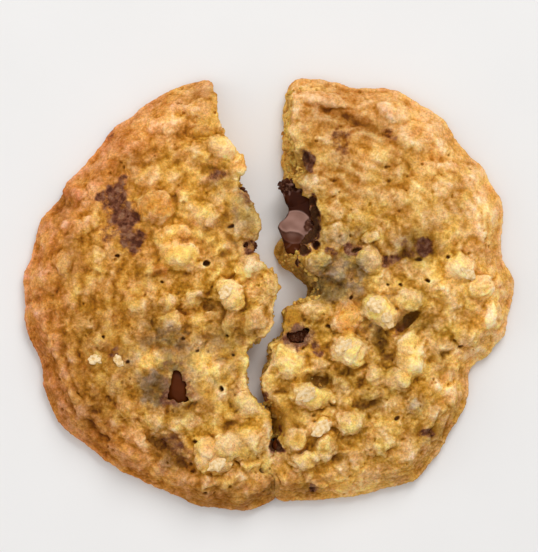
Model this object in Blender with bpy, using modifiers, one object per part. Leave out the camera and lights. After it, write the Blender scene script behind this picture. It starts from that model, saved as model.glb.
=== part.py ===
"""An oatmeal cookie with chocolate chips, torn in two from the back, whose halves still meet at the front.

Metres, +Z up. The cookie lies on its flat base with its middle over the origin, and the tear runs along Y,
open at +Y. Shapes are written in millimetres, seen from above, and scaled by MM.
"""

import math
import random

import bmesh
import bpy
from mathutils import Matrix, Vector, geometry, kdtree, noise

MM = 0.001

# Heights of the dough over the table
SLAB_HEIGHT = 10.0
FACE_TRIM = 0.25
LEAST_HEIGHT = 1.2
RIM_HEIGHT = 5.6
MIDDLE_HEIGHT = 9.4
RIM_SLOPE = 8.0

# The rounded rim: how far in it rises, how high its lip stands, how far its foot is tucked in
RIM_ROUND = 4.2
RIM_LIP = 0.42
RIM_WALL = 0.5
FOOT_TUCK = 0.8
FOOT_HEIGHT = 1.8

# Lumps, folds and swells of the crust
LUMP_SHAPE = 0.75
SMALL_LUMPS = 420
SMALL_SPREAD = (55.0, 49.0)
SMALL_LENGTH = (3.0, 5.2)
SMALL_WIDTH = (0.6, 0.85)
SMALL_HEIGHT = (0.4, 0.9)
SEED = 7
SWELL_SIZE = 7.0
SWELL_HEIGHT = 0.5
RIPPLE_SIZE = 3.0
RIPPLE_HEIGHT = 0.25

# How the torn faces lean and crumble, and how both fade into the closed crack at the front
TEAR_REACH = 13.0
LEAN_FADE = 1.5
CRAG_FADE = 4
CRAG_SIZE = 3.2
CRAG_DEPTH = 0.75
CRACK_START = -35.0
CRACK_RUN = 10.0
CRACK_CRAG = 0.1

# Fineness of the faceted solids
LINE_STEPS = 4
TEAR_STEPS = 2
RIM_STEPS = 12
OUTLINE_GROWTH = 0.2
DOUGH_VOXEL = 1.1
DOUGH_SMOOTHING = 5
DOUGH_TRIANGLES = 4900
CHOCOLATE_VOXEL = 0.6
CHOCOLATE_SMOOTHING = 6
BALL_FINENESS = 3
CHOCOLATE_TRIANGLES = 400
CHIP_TRIANGLES = 130
CHIP_UNEVEN = 0.25
CHIP_UNEVEN_SIZE = 1.6
POCKET_GAP = 0.35

# Plain colours and how rough each surface is
DOUGH_COLOUR = (0.52, 0.26, 0.07)
DOUGH_ROUGHNESS = 0.75
CHOCOLATE_COLOUR = (0.05, 0.015, 0.007)
CHOCOLATE_ROUGHNESS = 0.35

# The baked rim of each half, from the open end of the tear round to the crack
RIM_LEFT = (
    (-12.2, 48.2), (-16.5, 47.8), (-22.0, 45.9), (-28.0, 42.4), (-32.0, 38.9), (-34.8, 37.6),
    (-38.5, 32.5), (-42.5, 27.8), (-45.8, 25.0), (-46.6, 21.6), (-50.6, 17.6), (-52.3, 13.0),
    (-53.1, 9.0), (-54.9, 4.6), (-54.8, -1.5), (-54.1, -9.0), (-51.2, -15.1), (-50.5, -21.1),
    (-48.1, -27.2), (-45.4, -30.6), (-40.7, -33.9), (-34.7, -38.7), (-29.7, -41.2), (-25.6, -43.2),
    (-20.6, -45.1), (-16.6, -47.3), (-10.0, -48.1), (-5.5, -48.5), (-2.0, -47.5), (0.7, -46.3),
)
RIM_RIGHT = (
    (5.9, 48.5), (11.0, 48.3), (15.5, 47.4), (19.0, 46.3), (27.0, 46.2), (31.0, 44.6),
    (35.5, 41.6), (39.4, 39.3), (41.2, 35.8), (45.2, 30.7), (48.3, 28.5), (49.6, 25.0),
    (51.9, 21.8), (52.6, 18.0), (52.0, 10.0), (53.2, 6.3), (55.0, 3.6), (54.8, 0.0),
    (53.6, -5.0), (53.0, -9.3), (50.6, -11.2), (49.6, -13.6), (45.5, -15.9), (44.8, -19.5),
    (44.7, -23.0), (43.2, -26.8), (40.3, -31.0), (39.1, -34.0), (34.6, -39.8), (31.8, -42.2),
    (26.0, -43.5), (20.5, -45.0), (10.0, -46.2), (1.6, -46.4),
)

# The tear of each half, from back to front: y, x where the crust ends, x where the base ends
TEAR_LEFT = (
    (48.2, -12.2, -12.6), (45.0, -12.0, -13.4), (41.0, -11.4, -13.6), (38.0, -10.6, -13.0),
    (36.3, -9.7, -12.4), (34.0, -8.6, -11.4), (32.2, -7.2, -10.2), (30.6, -4.8, -9.0),
    (28.8, -4.5, -8.8), (26.6, -5.2, -9.0), (25.9, -7.6, -9.8), (24.8, -8.2, -10.2),
    (23.6, -6.2, -9.2), (21.5, -3.6, -7.2), (19.0, -2.9, -6.2), (15.5, -1.2, -5.0),
    (13.6, -1.8, -5.2), (12.0, -3.0, -5.8), (9.5, -2.8, -6.0), (7.5, -1.8, -5.2),
    (5.2, 1.0, -2.8), (3.6, 2.7, -1.4), (1.5, 2.6, -1.2), (-0.5, 1.5, -1.8), (-5.5, 0.6, -2.4),
    (-7.5, 1.2, -2.4), (-9.0, -0.4, -3.2), (-10.4, -3.2, -5.0), (-12.0, -4.5, -6.0),
    (-17.0, -5.0, -6.6), (-20.0, -4.6, -6.2), (-23.0, -3.6, -5.0), (-24.8, -1.6, -3.2),
    (-27.0, -0.3, -1.4), (-31.0, 0.0, -0.7), (-35.5, 0.0, -0.3), (-36.8, 0.7, 0.4),
    (-37.6, -1.6, -1.6), (-39.4, -1.3, -1.3), (-41.0, 0.6, 0.6), (-43.5, 1.1, 1.1), (-46.4, 0.8, 0.8),
)
TEAR_RIGHT = (
    (48.5, 5.7, 4.9), (46.0, 5.5, 4.1), (44.0, 5.2, 3.3), (41.0, 5.8, 3.1), (35.5, 5.5, 2.9),
    (33.8, 6.9, 2.8), (32.3, 7.6, 2.7), (31.2, 9.2, 2.3), (29.6, 10.2, 2.0), (27.6, 9.3, 2.6),
    (26.2, 7.2, 2.4), (25.2, 6.5, 2.8), (23.5, 7.4, 4.2), (21.9, 9.6, 5.0), (18.3, 10.7, 5.6),
    (16.5, 11.7, 5.4), (14.0, 11.2, 3.8), (12.2, 9.4, 1.4), (10.4, 8.6, 0.7), (8.0, 8.8, 0.9),
    (6.3, 9.1, 2.0), (5.1, 9.8, 4.8), (3.6, 10.9, 5.6), (2.3, 12.2, 8.2), (0.0, 12.2, 8.7),
    (-1.2, 9.0, 7.2), (-2.4, 6.8, 5.4), (-3.4, 4.0, 3.2), (-7.0, 3.9, 3.3), (-8.6, 4.2, 3.2),
    (-9.8, 3.5, 2.0), (-10.8, 1.2, -0.2), (-12.5, 0.2, -0.7), (-15.0, 0.2, -0.8), (-19.0, -1.5, -2.2),
    (-21.5, -0.6, -2.0), (-23.0, 0.2, -1.9), (-25.5, 3.0, -0.8), (-27.5, 4.4, 0.4),
    (-31.5, 3.7, 1.1), (-35.5, 2.0, 1.1), (-36.6, 1.9, 1.8), (-37.6, -0.6, -0.6),
    (-39.3, -0.3, -0.3), (-40.9, 1.6, 1.6), (-43.5, 2.1, 2.1), (-46.4, 1.8, 1.8),
)

# The large lumps of oats under the crust: x, y, length, width, turn in degrees, height
LUMPS = (
    (-25.0, 19.5, 9.0, 8.0, 10, 1.7), (-20.0, 8.8, 9.5, 7.0, 160, 2.2), (-8.3, -0.2, 6.0, 8.0, 15, 2.3),
    (-3.3, -5.8, 6.5, 5.8, 30, 1.8), (-10.5, 33.0, 8.0, 5.0, 150, 1.7), (-6.2, 28.8, 5.5, 4.5, 0, 0.7),
    (-14.5, 17.8, 9.0, 5.0, 160, 1.2), (-5.0, 16.5, 8.0, 10.0, 0, 1.5), (-4.2, 6.2, 8.0, 5.5, 15, 1.7),
    (0.2, 2.6, 5.0, 5.0, 0, 1.2), (-22.0, 13.3, 9.0, 4.5, 20, 1.2), (-21.8, -6.0, 7.0, 5.0, 10, 1.4),
    (-22.8, -1.6, 6.0, 4.5, 30, 1.3), (-17.2, -0.8, 5.5, 4.2, 20, 1.3), (-8.0, -6.2, 6.0, 5.0, 40, 1.2),
    (-31.4, -25.4, 7.0, 5.0, 130, 1.5), (-25.2, -27.9, 6.0, 5.0, 0, 1.4), (-19.2, -28.4, 8.0, 6.0, 0, 1.3),
    (-4.6, -24.6, 7.0, 5.8, 160, 1.9), (-14.4, -35.6, 5.5, 8.5, 10, 2.2), (-9.4, -33.6, 7.5, 7.0, 0, 2.4),
    (-11.6, -37.6, 7.0, 4.0, 10, 1.8), (-4.4, -33.0, 7.0, 8.0, 0, 1.5), (-13.0, -41.8, 9.5, 3.2, 0, 1.0),
    (-41.0, 15.5, 8.0, 4.5, 20, 1.0), (-44.0, 22.7, 5.5, 5.0, 0, 1.3), (-23.0, 38.0, 9.0, 4.5, 8, 1.0),
    (-16.0, 41.6, 7.0, 5.0, 0, 1.0), (-46.0, 7.0, 4.5, 6.0, 0, 1.0), (-38.6, 8.0, 4.5, 7.0, 10, 1.0),
    (24.6, -3.6, 9.5, 6.6, 140, 2.7), (18.0, -12.6, 9.0, 7.6, 0, 2.7), (17.8, -5.0, 7.5, 8.5, 20, 1.9),
    (22.2, 8.0, 6.0, 6.6, 0, 2.1), (22.6, 12.6, 4.2, 2.8, 0, 1.5), (31.6, -1.2, 6.8, 5.8, 0, 1.8),
    (31.6, -13.4, 7.5, 11.0, 8, 1.9), (28.4, -19.0, 7.0, 5.6, 10, 1.7), (4.6, -15.2, 8.0, 9.0, 20, 2.1),
    (9.4, -22.6, 10.5, 5.6, 175, 2.2), (11.6, -29.6, 5.0, 3.2, 10, 1.8), (18.2, -28.6, 7.0, 6.0, 0, 1.8),
    (12.6, -33.8, 5.6, 7.0, 0, 1.7), (8.2, -37.0, 7.5, 5.0, 10, 2.0), (5.6, -32.4, 5.0, 6.5, 160, 1.5),
    (24.0, -33.4, 8.0, 7.0, 0, 1.2), (32.8, -25.0, 5.0, 6.0, 0, 1.4), (50.2, -4.6, 4.6, 7.0, 0, 1.5),
    (42.6, 6.0, 7.0, 5.5, 0, 1.4), (47.6, 1.8, 6.5, 6.5, 0, 1.4), (27.6, 21.4, 7.0, 5.0, 0, 1.0),
    (11.0, 24.4, 10.0, 4.6, 165, 1.3), (13.8, 18.8, 7.5, 3.6, 175, 1.1), (14.6, 13.0, 7.5, 6.6, 0, 1.4),
    (11.2, 7.6, 6.0, 5.6, 0, 1.5), (23.6, -17.4, 3.6, 4.6, 0, 1.3), (28.0, 41.0, 9.0, 5.0, 165, 1.0),
    (12.0, 43.6, 13.0, 4.0, 172, 1.2), (44.0, -9.4, 7.0, 4.6, 150, 1.2),
)

# Folds and crevices in the crust: depth, width, then the points that each runs through
GROOVES = (
    (0.9, 2.4, (12.0, 41.8), (15.5, 41.0), (19.5, 38.4), (26.5, 35.8)),
    (0.8, 1.8, (26.0, 34.4), (31.0, 32.4), (37.0, 30.6), (44.0, 29.4)),
    (1.1, 1.8, (-20.0, 36.2), (-15.0, 36.2), (-10.0, 36.9)),
    (0.9, 2.0, (-49.0, -13.0), (-47.0, -21.0), (-43.0, -27.0), (-37.0, -32.5)),
    (1.3, 1.8, (-27.0, -31.5), (-21.0, -36.0), (-17.5, -39.4)),
    (1.6, 1.8, (27.5, -8.2), (30.0, -6.2), (33.0, -4.8)),
    (1.4, 2.2, (19.5, -24.0), (24.5, -25.6)),
    (1.5, 2.4, (9.0, -19.0), (13.5, -19.6)),
    (1.4, 2.0, (-20.0, -3.4), (-15.0, -3.4), (-11.0, -1.6)),
)

# Chocolate chips that show: x, y, height of the middle, half sizes, turn in degrees
CHIPS = {
    "chip_window": (-20.3, -20.6, 6.9, 2.9, 4.5, 1.7, 8),
    "chip_crack": (1.9, -34.2, 5.4, 1.35, 1.9, 1.7, 0),
    "chip_right_tear": (6.4, -9.3, 7.4, 3.0, 2.0, 1.6, 20),
    "chip_left_tear": (-4.5, 10.8, 7.6, 1.9, 1.5, 1.4, 0),
    "chip_left_back": (-6.4, 22.9, 6.9, 1.5, 1.2, 1.2, 0),
}
CHIPS_IN_LEFT = ("chip_window", "chip_left_tear", "chip_left_back")

# Openings in the crust over the chips that show from above
WINDOWS = {
    "chip_window": (
        (-21.6, -16.8), (-20.2, -17.1), (-18.5, -19.8), (-18.7, -22.5), (-17.8, -23.5),
        (-20.2, -24.1), (-22.0, -23.7), (-22.6, -22.9), (-21.9, -21.2), (-21.8, -19.5),
    ),
    "chip_right_tear": (
        (3.9, -8.4), (5.5, -7.8), (7.7, -7.2), (9.2, -7.5), (8.8, -8.6), (8.2, -9.6),
        (7.9, -10.6), (6.3, -11.2), (4.6, -10.8), (3.7, -9.6),
    ),
}

# The chip that melted in the tear, as the balls that it is blended from: x, y, z, half sizes
MELTED_BALLS = (
    (4.0, 24.5, 6.6, 2.0, 1.5, 1.5),
    (6.2, 22.2, 5.9, 2.4, 2.4, 1.6),
    (7.6, 19.0, 5.3, 3.1, 3.0, 1.7),
    (6.0, 15.1, 6.0, 3.9, 3.9, 1.5),
    (9.2, 15.8, 5.2, 2.2, 3.4, 1.7),
    (6.4, 11.2, 4.9, 2.1, 2.1, 1.6),
)


def clear_scene():
    for item in list(bpy.data.objects):
        bpy.data.objects.remove(item)


def new_collection(name, hidden=False):
    collection = bpy.data.collections.new(name)
    collection.hide_render = hidden
    bpy.context.scene.collection.children.link(collection)
    return collection


def finish(name, colour, roughness):
    """A plain Principled material."""
    material = bpy.data.materials.new(name)
    material.use_nodes = True
    shader = material.node_tree.nodes["Principled BSDF"]
    shader.inputs["Base Color"].default_value = (*colour, 1.0)
    shader.inputs["Roughness"].default_value = roughness
    shader.inputs["Metallic"].default_value = 0.0
    return material


def new_object(name, data, collection):
    item = bpy.data.objects.new(name, data)
    collection.objects.link(item)
    return item


def applied(item):
    """The object's mesh with its modifiers, as a mesh of its own, which replaces the old one."""
    bpy.context.view_layer.update()
    evaluated = item.evaluated_get(bpy.context.evaluated_depsgraph_get())
    mesh = bpy.data.meshes.new_from_object(evaluated)
    item.modifiers.clear()
    item.data = mesh
    return mesh


def smooth_line(points, steps=LINE_STEPS):
    """A smooth line through the points, with this many steps from one to the next."""
    ends = [Vector(p) for p in (points[0], *points, points[-1])]
    line = []
    for before, start, end, after in zip(ends, ends[1:], ends[2:], ends[3:]):
        # A sixth of the chord across each point gives the Bezier handle of a Catmull-Rom curve
        out, back = start + (end - before) / 6, end - (after - start) / 6
        line += geometry.interpolate_bezier(start, out, back, end, steps + 1)[:-1]
    return line + [ends[-1]]


def tree_of(places):
    """A search tree over places seen from above."""
    tree = kdtree.KDTree(len(places))
    for index, place in enumerate(places):
        tree.insert((place[0], place[1], 0), index)
    tree.balance()
    return tree


def tear_at(tear, y):
    """Where the crust and the base end at this place along the tear."""
    for (y0, crust0, base0), (y1, crust1, base1) in zip(tear, tear[1:]):
        if y >= y1:
            share = min(1.0, max(0.0, (y0 - y) / (y0 - y1)))
            return crust0 + share * (crust1 - crust0), base0 + share * (base1 - base0)
    return tear[-1][1:]


def lump_rise(lump, x, y):
    """How far one lump stands over the crust at this place."""
    middle_x, middle_y, length, width, turn, height = lump
    angle = math.radians(turn)
    along = (x - middle_x) * math.cos(angle) + (y - middle_y) * math.sin(angle)
    across = (y - middle_y) * math.cos(angle) - (x - middle_x) * math.sin(angle)
    spread = (2 * along / length) ** 2 + (2 * across / width) ** 2
    return height * (1 - spread) ** LUMP_SHAPE if spread < 1 else 0.0


def distance_to(points, place):
    """Distance from the place to the line through the points."""
    nearest = min((place - point).length for point in points)
    for start, end in zip(points, points[1:]):
        foot, share = geometry.intersect_point_line(place, start, end)
        if 0 < share < 1:
            nearest = min(nearest, (place - foot.to_2d()).length)
    return nearest


def small_lumps(rng):
    """Oats that barely lift the crust, spread by chance over the whole cookie."""
    lumps = []
    far_x, far_y = SMALL_SPREAD
    for _ in range(SMALL_LUMPS):
        length = rng.uniform(*SMALL_LENGTH)
        width = length * rng.uniform(*SMALL_WIDTH)
        place = (rng.uniform(-far_x, far_x), rng.uniform(-far_y, far_y))
        lumps.append((*place, length, width, rng.uniform(0, 180), rng.uniform(*SMALL_HEIGHT)))
    return lumps


def crust_relief(lumps, lump_tree, x, y):
    """Height of the lumps, folds and swells over the plain dome."""
    reach = max(max(lump[2:4]) for lump in LUMPS) / 2
    near = (lumps[index] for _, index, _ in lump_tree.find_range((x, y, 0), reach))
    rise = max((lump_rise(lump, x, y) for lump in near), default=0.0)
    fall = 0.0
    for depth, width, *points in GROOVES:
        away = distance_to([Vector(point) for point in points], Vector((x, y)))
        fall = max(fall, depth * math.exp(-((2 * away / width) ** 2)))
    swell = SWELL_HEIGHT * noise.noise(Vector((x, y, 0)) / SWELL_SIZE)
    ripple = RIPPLE_HEIGHT * noise.noise(Vector((x, y, SLAB_HEIGHT)) / RIPPLE_SIZE)
    return rise - fall + swell + ripple


def dome(inset):
    """Height of the plain dome at this distance in from the rim, with its rounded edge."""
    height = RIM_HEIGHT + (MIDDLE_HEIGHT - RIM_HEIGHT) * (1 - math.exp(-inset / RIM_SLOPE))
    rise = math.sin(math.pi / 2 * min(inset / RIM_ROUND, 1.0))
    return height * (RIM_LIP + (1 - RIM_LIP) * rise)


def flat_slab(name, rim, tear, collection):
    """The half's outline at the crust, extruded and remeshed into even faces."""
    edge = [Vector((crust, y)) for y, crust, _ in tear]
    outline = smooth_line(rim)[1:-1] + smooth_line(edge[::-1], TEAR_STEPS)
    curve = bpy.data.curves.new(name, "CURVE")
    curve.dimensions = "2D"
    curve.fill_mode = "BOTH"
    curve.extrude = SLAB_HEIGHT / 2
    spline = curve.splines.new("POLY")
    spline.points.add(len(outline) - 1)
    for spot, place in zip(spline.points, outline):
        spot.co = (place.x, place.y, 0, 1)
    spline.use_cyclic_u = True
    slab = new_object(name + "_outline", curve, collection)
    bpy.context.view_layer.update()
    mesh = bpy.data.meshes.new_from_object(slab.evaluated_get(bpy.context.evaluated_depsgraph_get()))
    bpy.data.objects.remove(slab)
    mesh.transform(Matrix.Translation((0, 0, SLAB_HEIGHT / 2)))
    weld(mesh)
    slab = new_object(name, mesh, collection)
    remesh = slab.modifiers.new("even_faces", "REMESH")
    remesh.mode = "VOXEL"
    remesh.voxel_size = DOUGH_VOXEL
    even = slab.modifiers.new("even_walls", "SMOOTH")
    even.iterations = DOUGH_SMOOTHING
    grow = slab.modifiers.new("regain_outline", "DISPLACE")
    grow.strength = OUTLINE_GROWTH
    grow.mid_level = 0.0
    applied(slab)
    return slab


def weld(mesh):
    """Joins the caps of an extruded outline to its walls."""
    shell = bmesh.new()
    shell.from_mesh(mesh)
    bmesh.ops.remove_doubles(shell, verts=shell.verts, dist=MM)
    bmesh.ops.recalc_face_normals(shell, faces=shell.faces)
    shell.to_mesh(mesh)
    shell.free()


def raise_dough(slab, rim, tear, lumps):
    """Turns the even slab into the half: rounded rim, domed and lumpy crust, and a leaning, craggy tear."""
    rim_tree, lump_tree = tree_of(smooth_line(rim, RIM_STEPS)), tree_of(lumps)
    for vertex in slab.data.vertices:
        x, y, z = vertex.co
        level = min(1.0, max(0.0, (z - FACE_TRIM) / (SLAB_HEIGHT - 2 * FACE_TRIM)))
        inset = max(0.0, rim_tree.find((x, y, 0))[2] - RIM_WALL)
        edge = min(1.0, inset / RIM_ROUND)
        crust, base = tear_at(tear, y)
        near_tear = max(0.0, 1 - abs(x - crust) / TEAR_REACH)
        top = max(LEAST_HEIGHT, dome(inset) + crust_relief(lumps, lump_tree, x, y) * edge)
        opening = min(1.0, max(CRACK_CRAG, (y - CRACK_START) / CRACK_RUN))
        crag = CRAG_DEPTH * opening * noise.noise(Vector((x, y, z)) / CRAG_SIZE) * near_tear**CRAG_FADE
        lean = (base - crust) * (1 - level) * near_tear**LEAN_FADE
        foot = max(0.0, 1 - level * top / FOOT_HEIGHT) ** 2 * (1 - edge)
        tuck = 1 - FOOT_TUCK * foot / Vector((x, y)).length
        vertex.co = ((x + lean + crag) * tuck, y * tuck, level * top)


def thinned(item, triangles):
    """Fewer triangles, most of them where the form bends."""
    faces = len(item.data.loop_triangles) or sum(len(p.vertices) - 2 for p in item.data.polygons)
    thin = item.modifiers.new("fewer_faces", "DECIMATE")
    thin.ratio = min(1.0, triangles / faces)
    thin.use_collapse_triangulate = True
    applied(item)


def ball(collection, name, place, sizes, turn=0.0):
    """A ball of these half sizes, turned about the vertical."""
    shell = bmesh.new()
    bmesh.ops.create_icosphere(shell, subdivisions=BALL_FINENESS, radius=1.0)
    stretch = Matrix.Diagonal((*sizes, 1.0))
    shell.transform(Matrix.Translation(place) @ Matrix.Rotation(math.radians(turn), 4, "Z") @ stretch)
    mesh = bpy.data.meshes.new(name)
    shell.to_mesh(mesh)
    shell.free()
    return new_object(name, mesh, collection)


def melted_chip(collection):
    """The softened chip in the tear: balls blended into one smooth body."""
    whole = bmesh.new()
    for number, (x, y, z, *sizes) in enumerate(MELTED_BALLS):
        part = ball(collection, f"melted_{number}", (x, y, z), sizes)
        whole.from_mesh(part.data)
        bpy.data.objects.remove(part)
    mesh = bpy.data.meshes.new("melted_chip")
    whole.to_mesh(mesh)
    whole.free()
    chip = new_object("melted_chip", mesh, collection)
    remesh = chip.modifiers.new("one_skin", "REMESH")
    remesh.mode = "VOXEL"
    remesh.voxel_size = CHOCOLATE_VOXEL
    soften = chip.modifiers.new("soften", "SMOOTH")
    soften.iterations = CHOCOLATE_SMOOTHING
    applied(chip)
    thinned(chip, CHOCOLATE_TRIANGLES)
    return chip


def dimpled_chip(collection, name, spec):
    """A chip that kept its form, with a slightly uneven skin."""
    x, y, z, *sizes, turn = spec
    chip = ball(collection, name, (x, y, z), sizes, turn)
    for vertex in chip.data.vertices:
        outward = (vertex.co - Vector((x, y, z))).normalized()
        vertex.co += outward * CHIP_UNEVEN * noise.noise(vertex.co / CHIP_UNEVEN_SIZE)
    thinned(chip, CHIP_TRIANGLES)
    return chip


def pocket_cutter(chip, collection):
    """The chip's own shape, grown by the gap that its pocket leaves round it."""
    cutter = new_object("pocket_" + chip.name, chip.data.copy(), collection)
    grow = cutter.modifiers.new("gap", "DISPLACE")
    grow.strength = POCKET_GAP
    grow.mid_level = 0.0
    applied(cutter)
    return cutter


def window_cutter(name, collection):
    """The opening in the crust over a chip, from the chip's middle up."""
    shell = bmesh.new()
    low = [shell.verts.new((x, y, CHIPS[name][2])) for x, y in WINDOWS[name]]
    raised = bmesh.ops.extrude_face_region(shell, geom=[shell.faces.new(low)])["geom"]
    up = [item for item in raised if isinstance(item, bmesh.types.BMVert)]
    bmesh.ops.translate(shell, verts=up, vec=(0, 0, SLAB_HEIGHT))
    bmesh.ops.recalc_face_normals(shell, faces=shell.faces)
    mesh = bpy.data.meshes.new("window_" + name)
    shell.to_mesh(mesh)
    shell.free()
    return new_object("window_" + name, mesh, collection)


def cut(item, cutters):
    """Cuts each cutter out of the item, and drops any scrap that comes loose."""
    for cutter in cutters:
        cutter.display_type = "WIRE"
        cutter.hide_render = True
        boolean = item.modifiers.new("cut_" + cutter.name, "BOOLEAN")
        boolean.operation = "DIFFERENCE"
        boolean.object = cutter
    mesh = applied(item)
    shell = bmesh.new()
    shell.from_mesh(mesh)
    pieces, seen = [], set()
    for start in shell.verts:
        if start in seen:
            continue
        piece, waiting = [], [start]
        seen.add(start)
        while waiting:
            vertex = waiting.pop()
            piece.append(vertex)
            for neighbour in (edge.other_vert(vertex) for edge in vertex.link_edges):
                if neighbour not in seen:
                    seen.add(neighbour)
                    waiting.append(neighbour)
        pieces.append(piece)
    for piece in sorted(pieces, key=len)[:-1]:
        bmesh.ops.delete(shell, geom=piece, context="VERTS")
    shell.to_mesh(mesh)
    shell.free()


def to_metres(collections):
    """Shapes are made in millimetres, which keeps Blender's tolerances small beside them."""
    for collection in collections:
        for item in collection.objects:
            item.data.transform(Matrix.Diagonal((MM, MM, MM, 1.0)))


def main():
    clear_scene()
    cookie = new_collection("oatmeal_cookie")
    cutters = new_collection("cutters", hidden=True)
    dough = finish("baked_dough", DOUGH_COLOUR, DOUGH_ROUGHNESS)
    chocolate = finish("dark_chocolate", CHOCOLATE_COLOUR, CHOCOLATE_ROUGHNESS)
    lumps = [*LUMPS, *small_lumps(random.Random(SEED))]

    chips = [dimpled_chip(cookie, name, spec) for name, spec in CHIPS.items()]
    chips.append(melted_chip(cookie))
    in_left, in_right = [], []
    for chip in chips:
        holes = in_left if chip.name in CHIPS_IN_LEFT else in_right
        holes.append(pocket_cutter(chip, cutters))
        if chip.name in WINDOWS:
            holes.append(window_cutter(chip.name, cutters))

    for name, rim, tear, holes in (
        ("half_left", RIM_LEFT, TEAR_LEFT, in_left),
        ("half_right", RIM_RIGHT, TEAR_RIGHT, in_right),
    ):
        half = flat_slab(name, rim, tear, cookie)
        raise_dough(half, rim, tear, lumps)
        thinned(half, DOUGH_TRIANGLES)
        cut(half, holes)
        half.data.materials.append(dough)
    for chip in chips:
        chip.data.materials.append(chocolate)
    to_metres((cookie, cutters))


main()
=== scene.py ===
"""The looks of a torn oatmeal cookie: finer dough, chocolate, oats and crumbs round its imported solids.

Lengths are in millimetres until a piece is done, and places are seen from above, with the tear along Y.
"""

import math
import random

import bmesh
import bpy
import numpy as np
from mathutils import Matrix, Vector, noise
from mathutils.bvhtree import BVHTree


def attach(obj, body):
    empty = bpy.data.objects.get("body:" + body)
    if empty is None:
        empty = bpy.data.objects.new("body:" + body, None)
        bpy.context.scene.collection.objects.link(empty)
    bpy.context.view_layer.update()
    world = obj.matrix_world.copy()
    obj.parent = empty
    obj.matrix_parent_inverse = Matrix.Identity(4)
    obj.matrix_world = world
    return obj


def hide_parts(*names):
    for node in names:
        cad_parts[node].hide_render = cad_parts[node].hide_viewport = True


bl_info = {
    "name": "Torn Oatmeal Cookie",
    "version": (1, 0, 0),
    "blender": (4, 5, 0),
    "location": "View3D > Sidebar > Cookie",
    "description": "Builds the looks of a torn oatmeal cookie round its packed solids",
    "category": "Add Mesh",
}

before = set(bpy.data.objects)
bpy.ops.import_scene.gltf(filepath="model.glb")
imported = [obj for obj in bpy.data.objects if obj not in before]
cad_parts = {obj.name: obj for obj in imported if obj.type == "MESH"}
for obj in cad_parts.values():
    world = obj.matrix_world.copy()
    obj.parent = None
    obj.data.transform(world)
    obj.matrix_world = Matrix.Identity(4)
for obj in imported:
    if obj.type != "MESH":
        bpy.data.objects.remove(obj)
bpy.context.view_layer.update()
MM = 0.001

# The plain dome of dough: its heights at the rim and in the middle, and how far in its rise reaches
RIM_HEIGHT = 5.6
MIDDLE_HEIGHT = 9.4
RIM_SLOPE = 8.0

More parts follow.
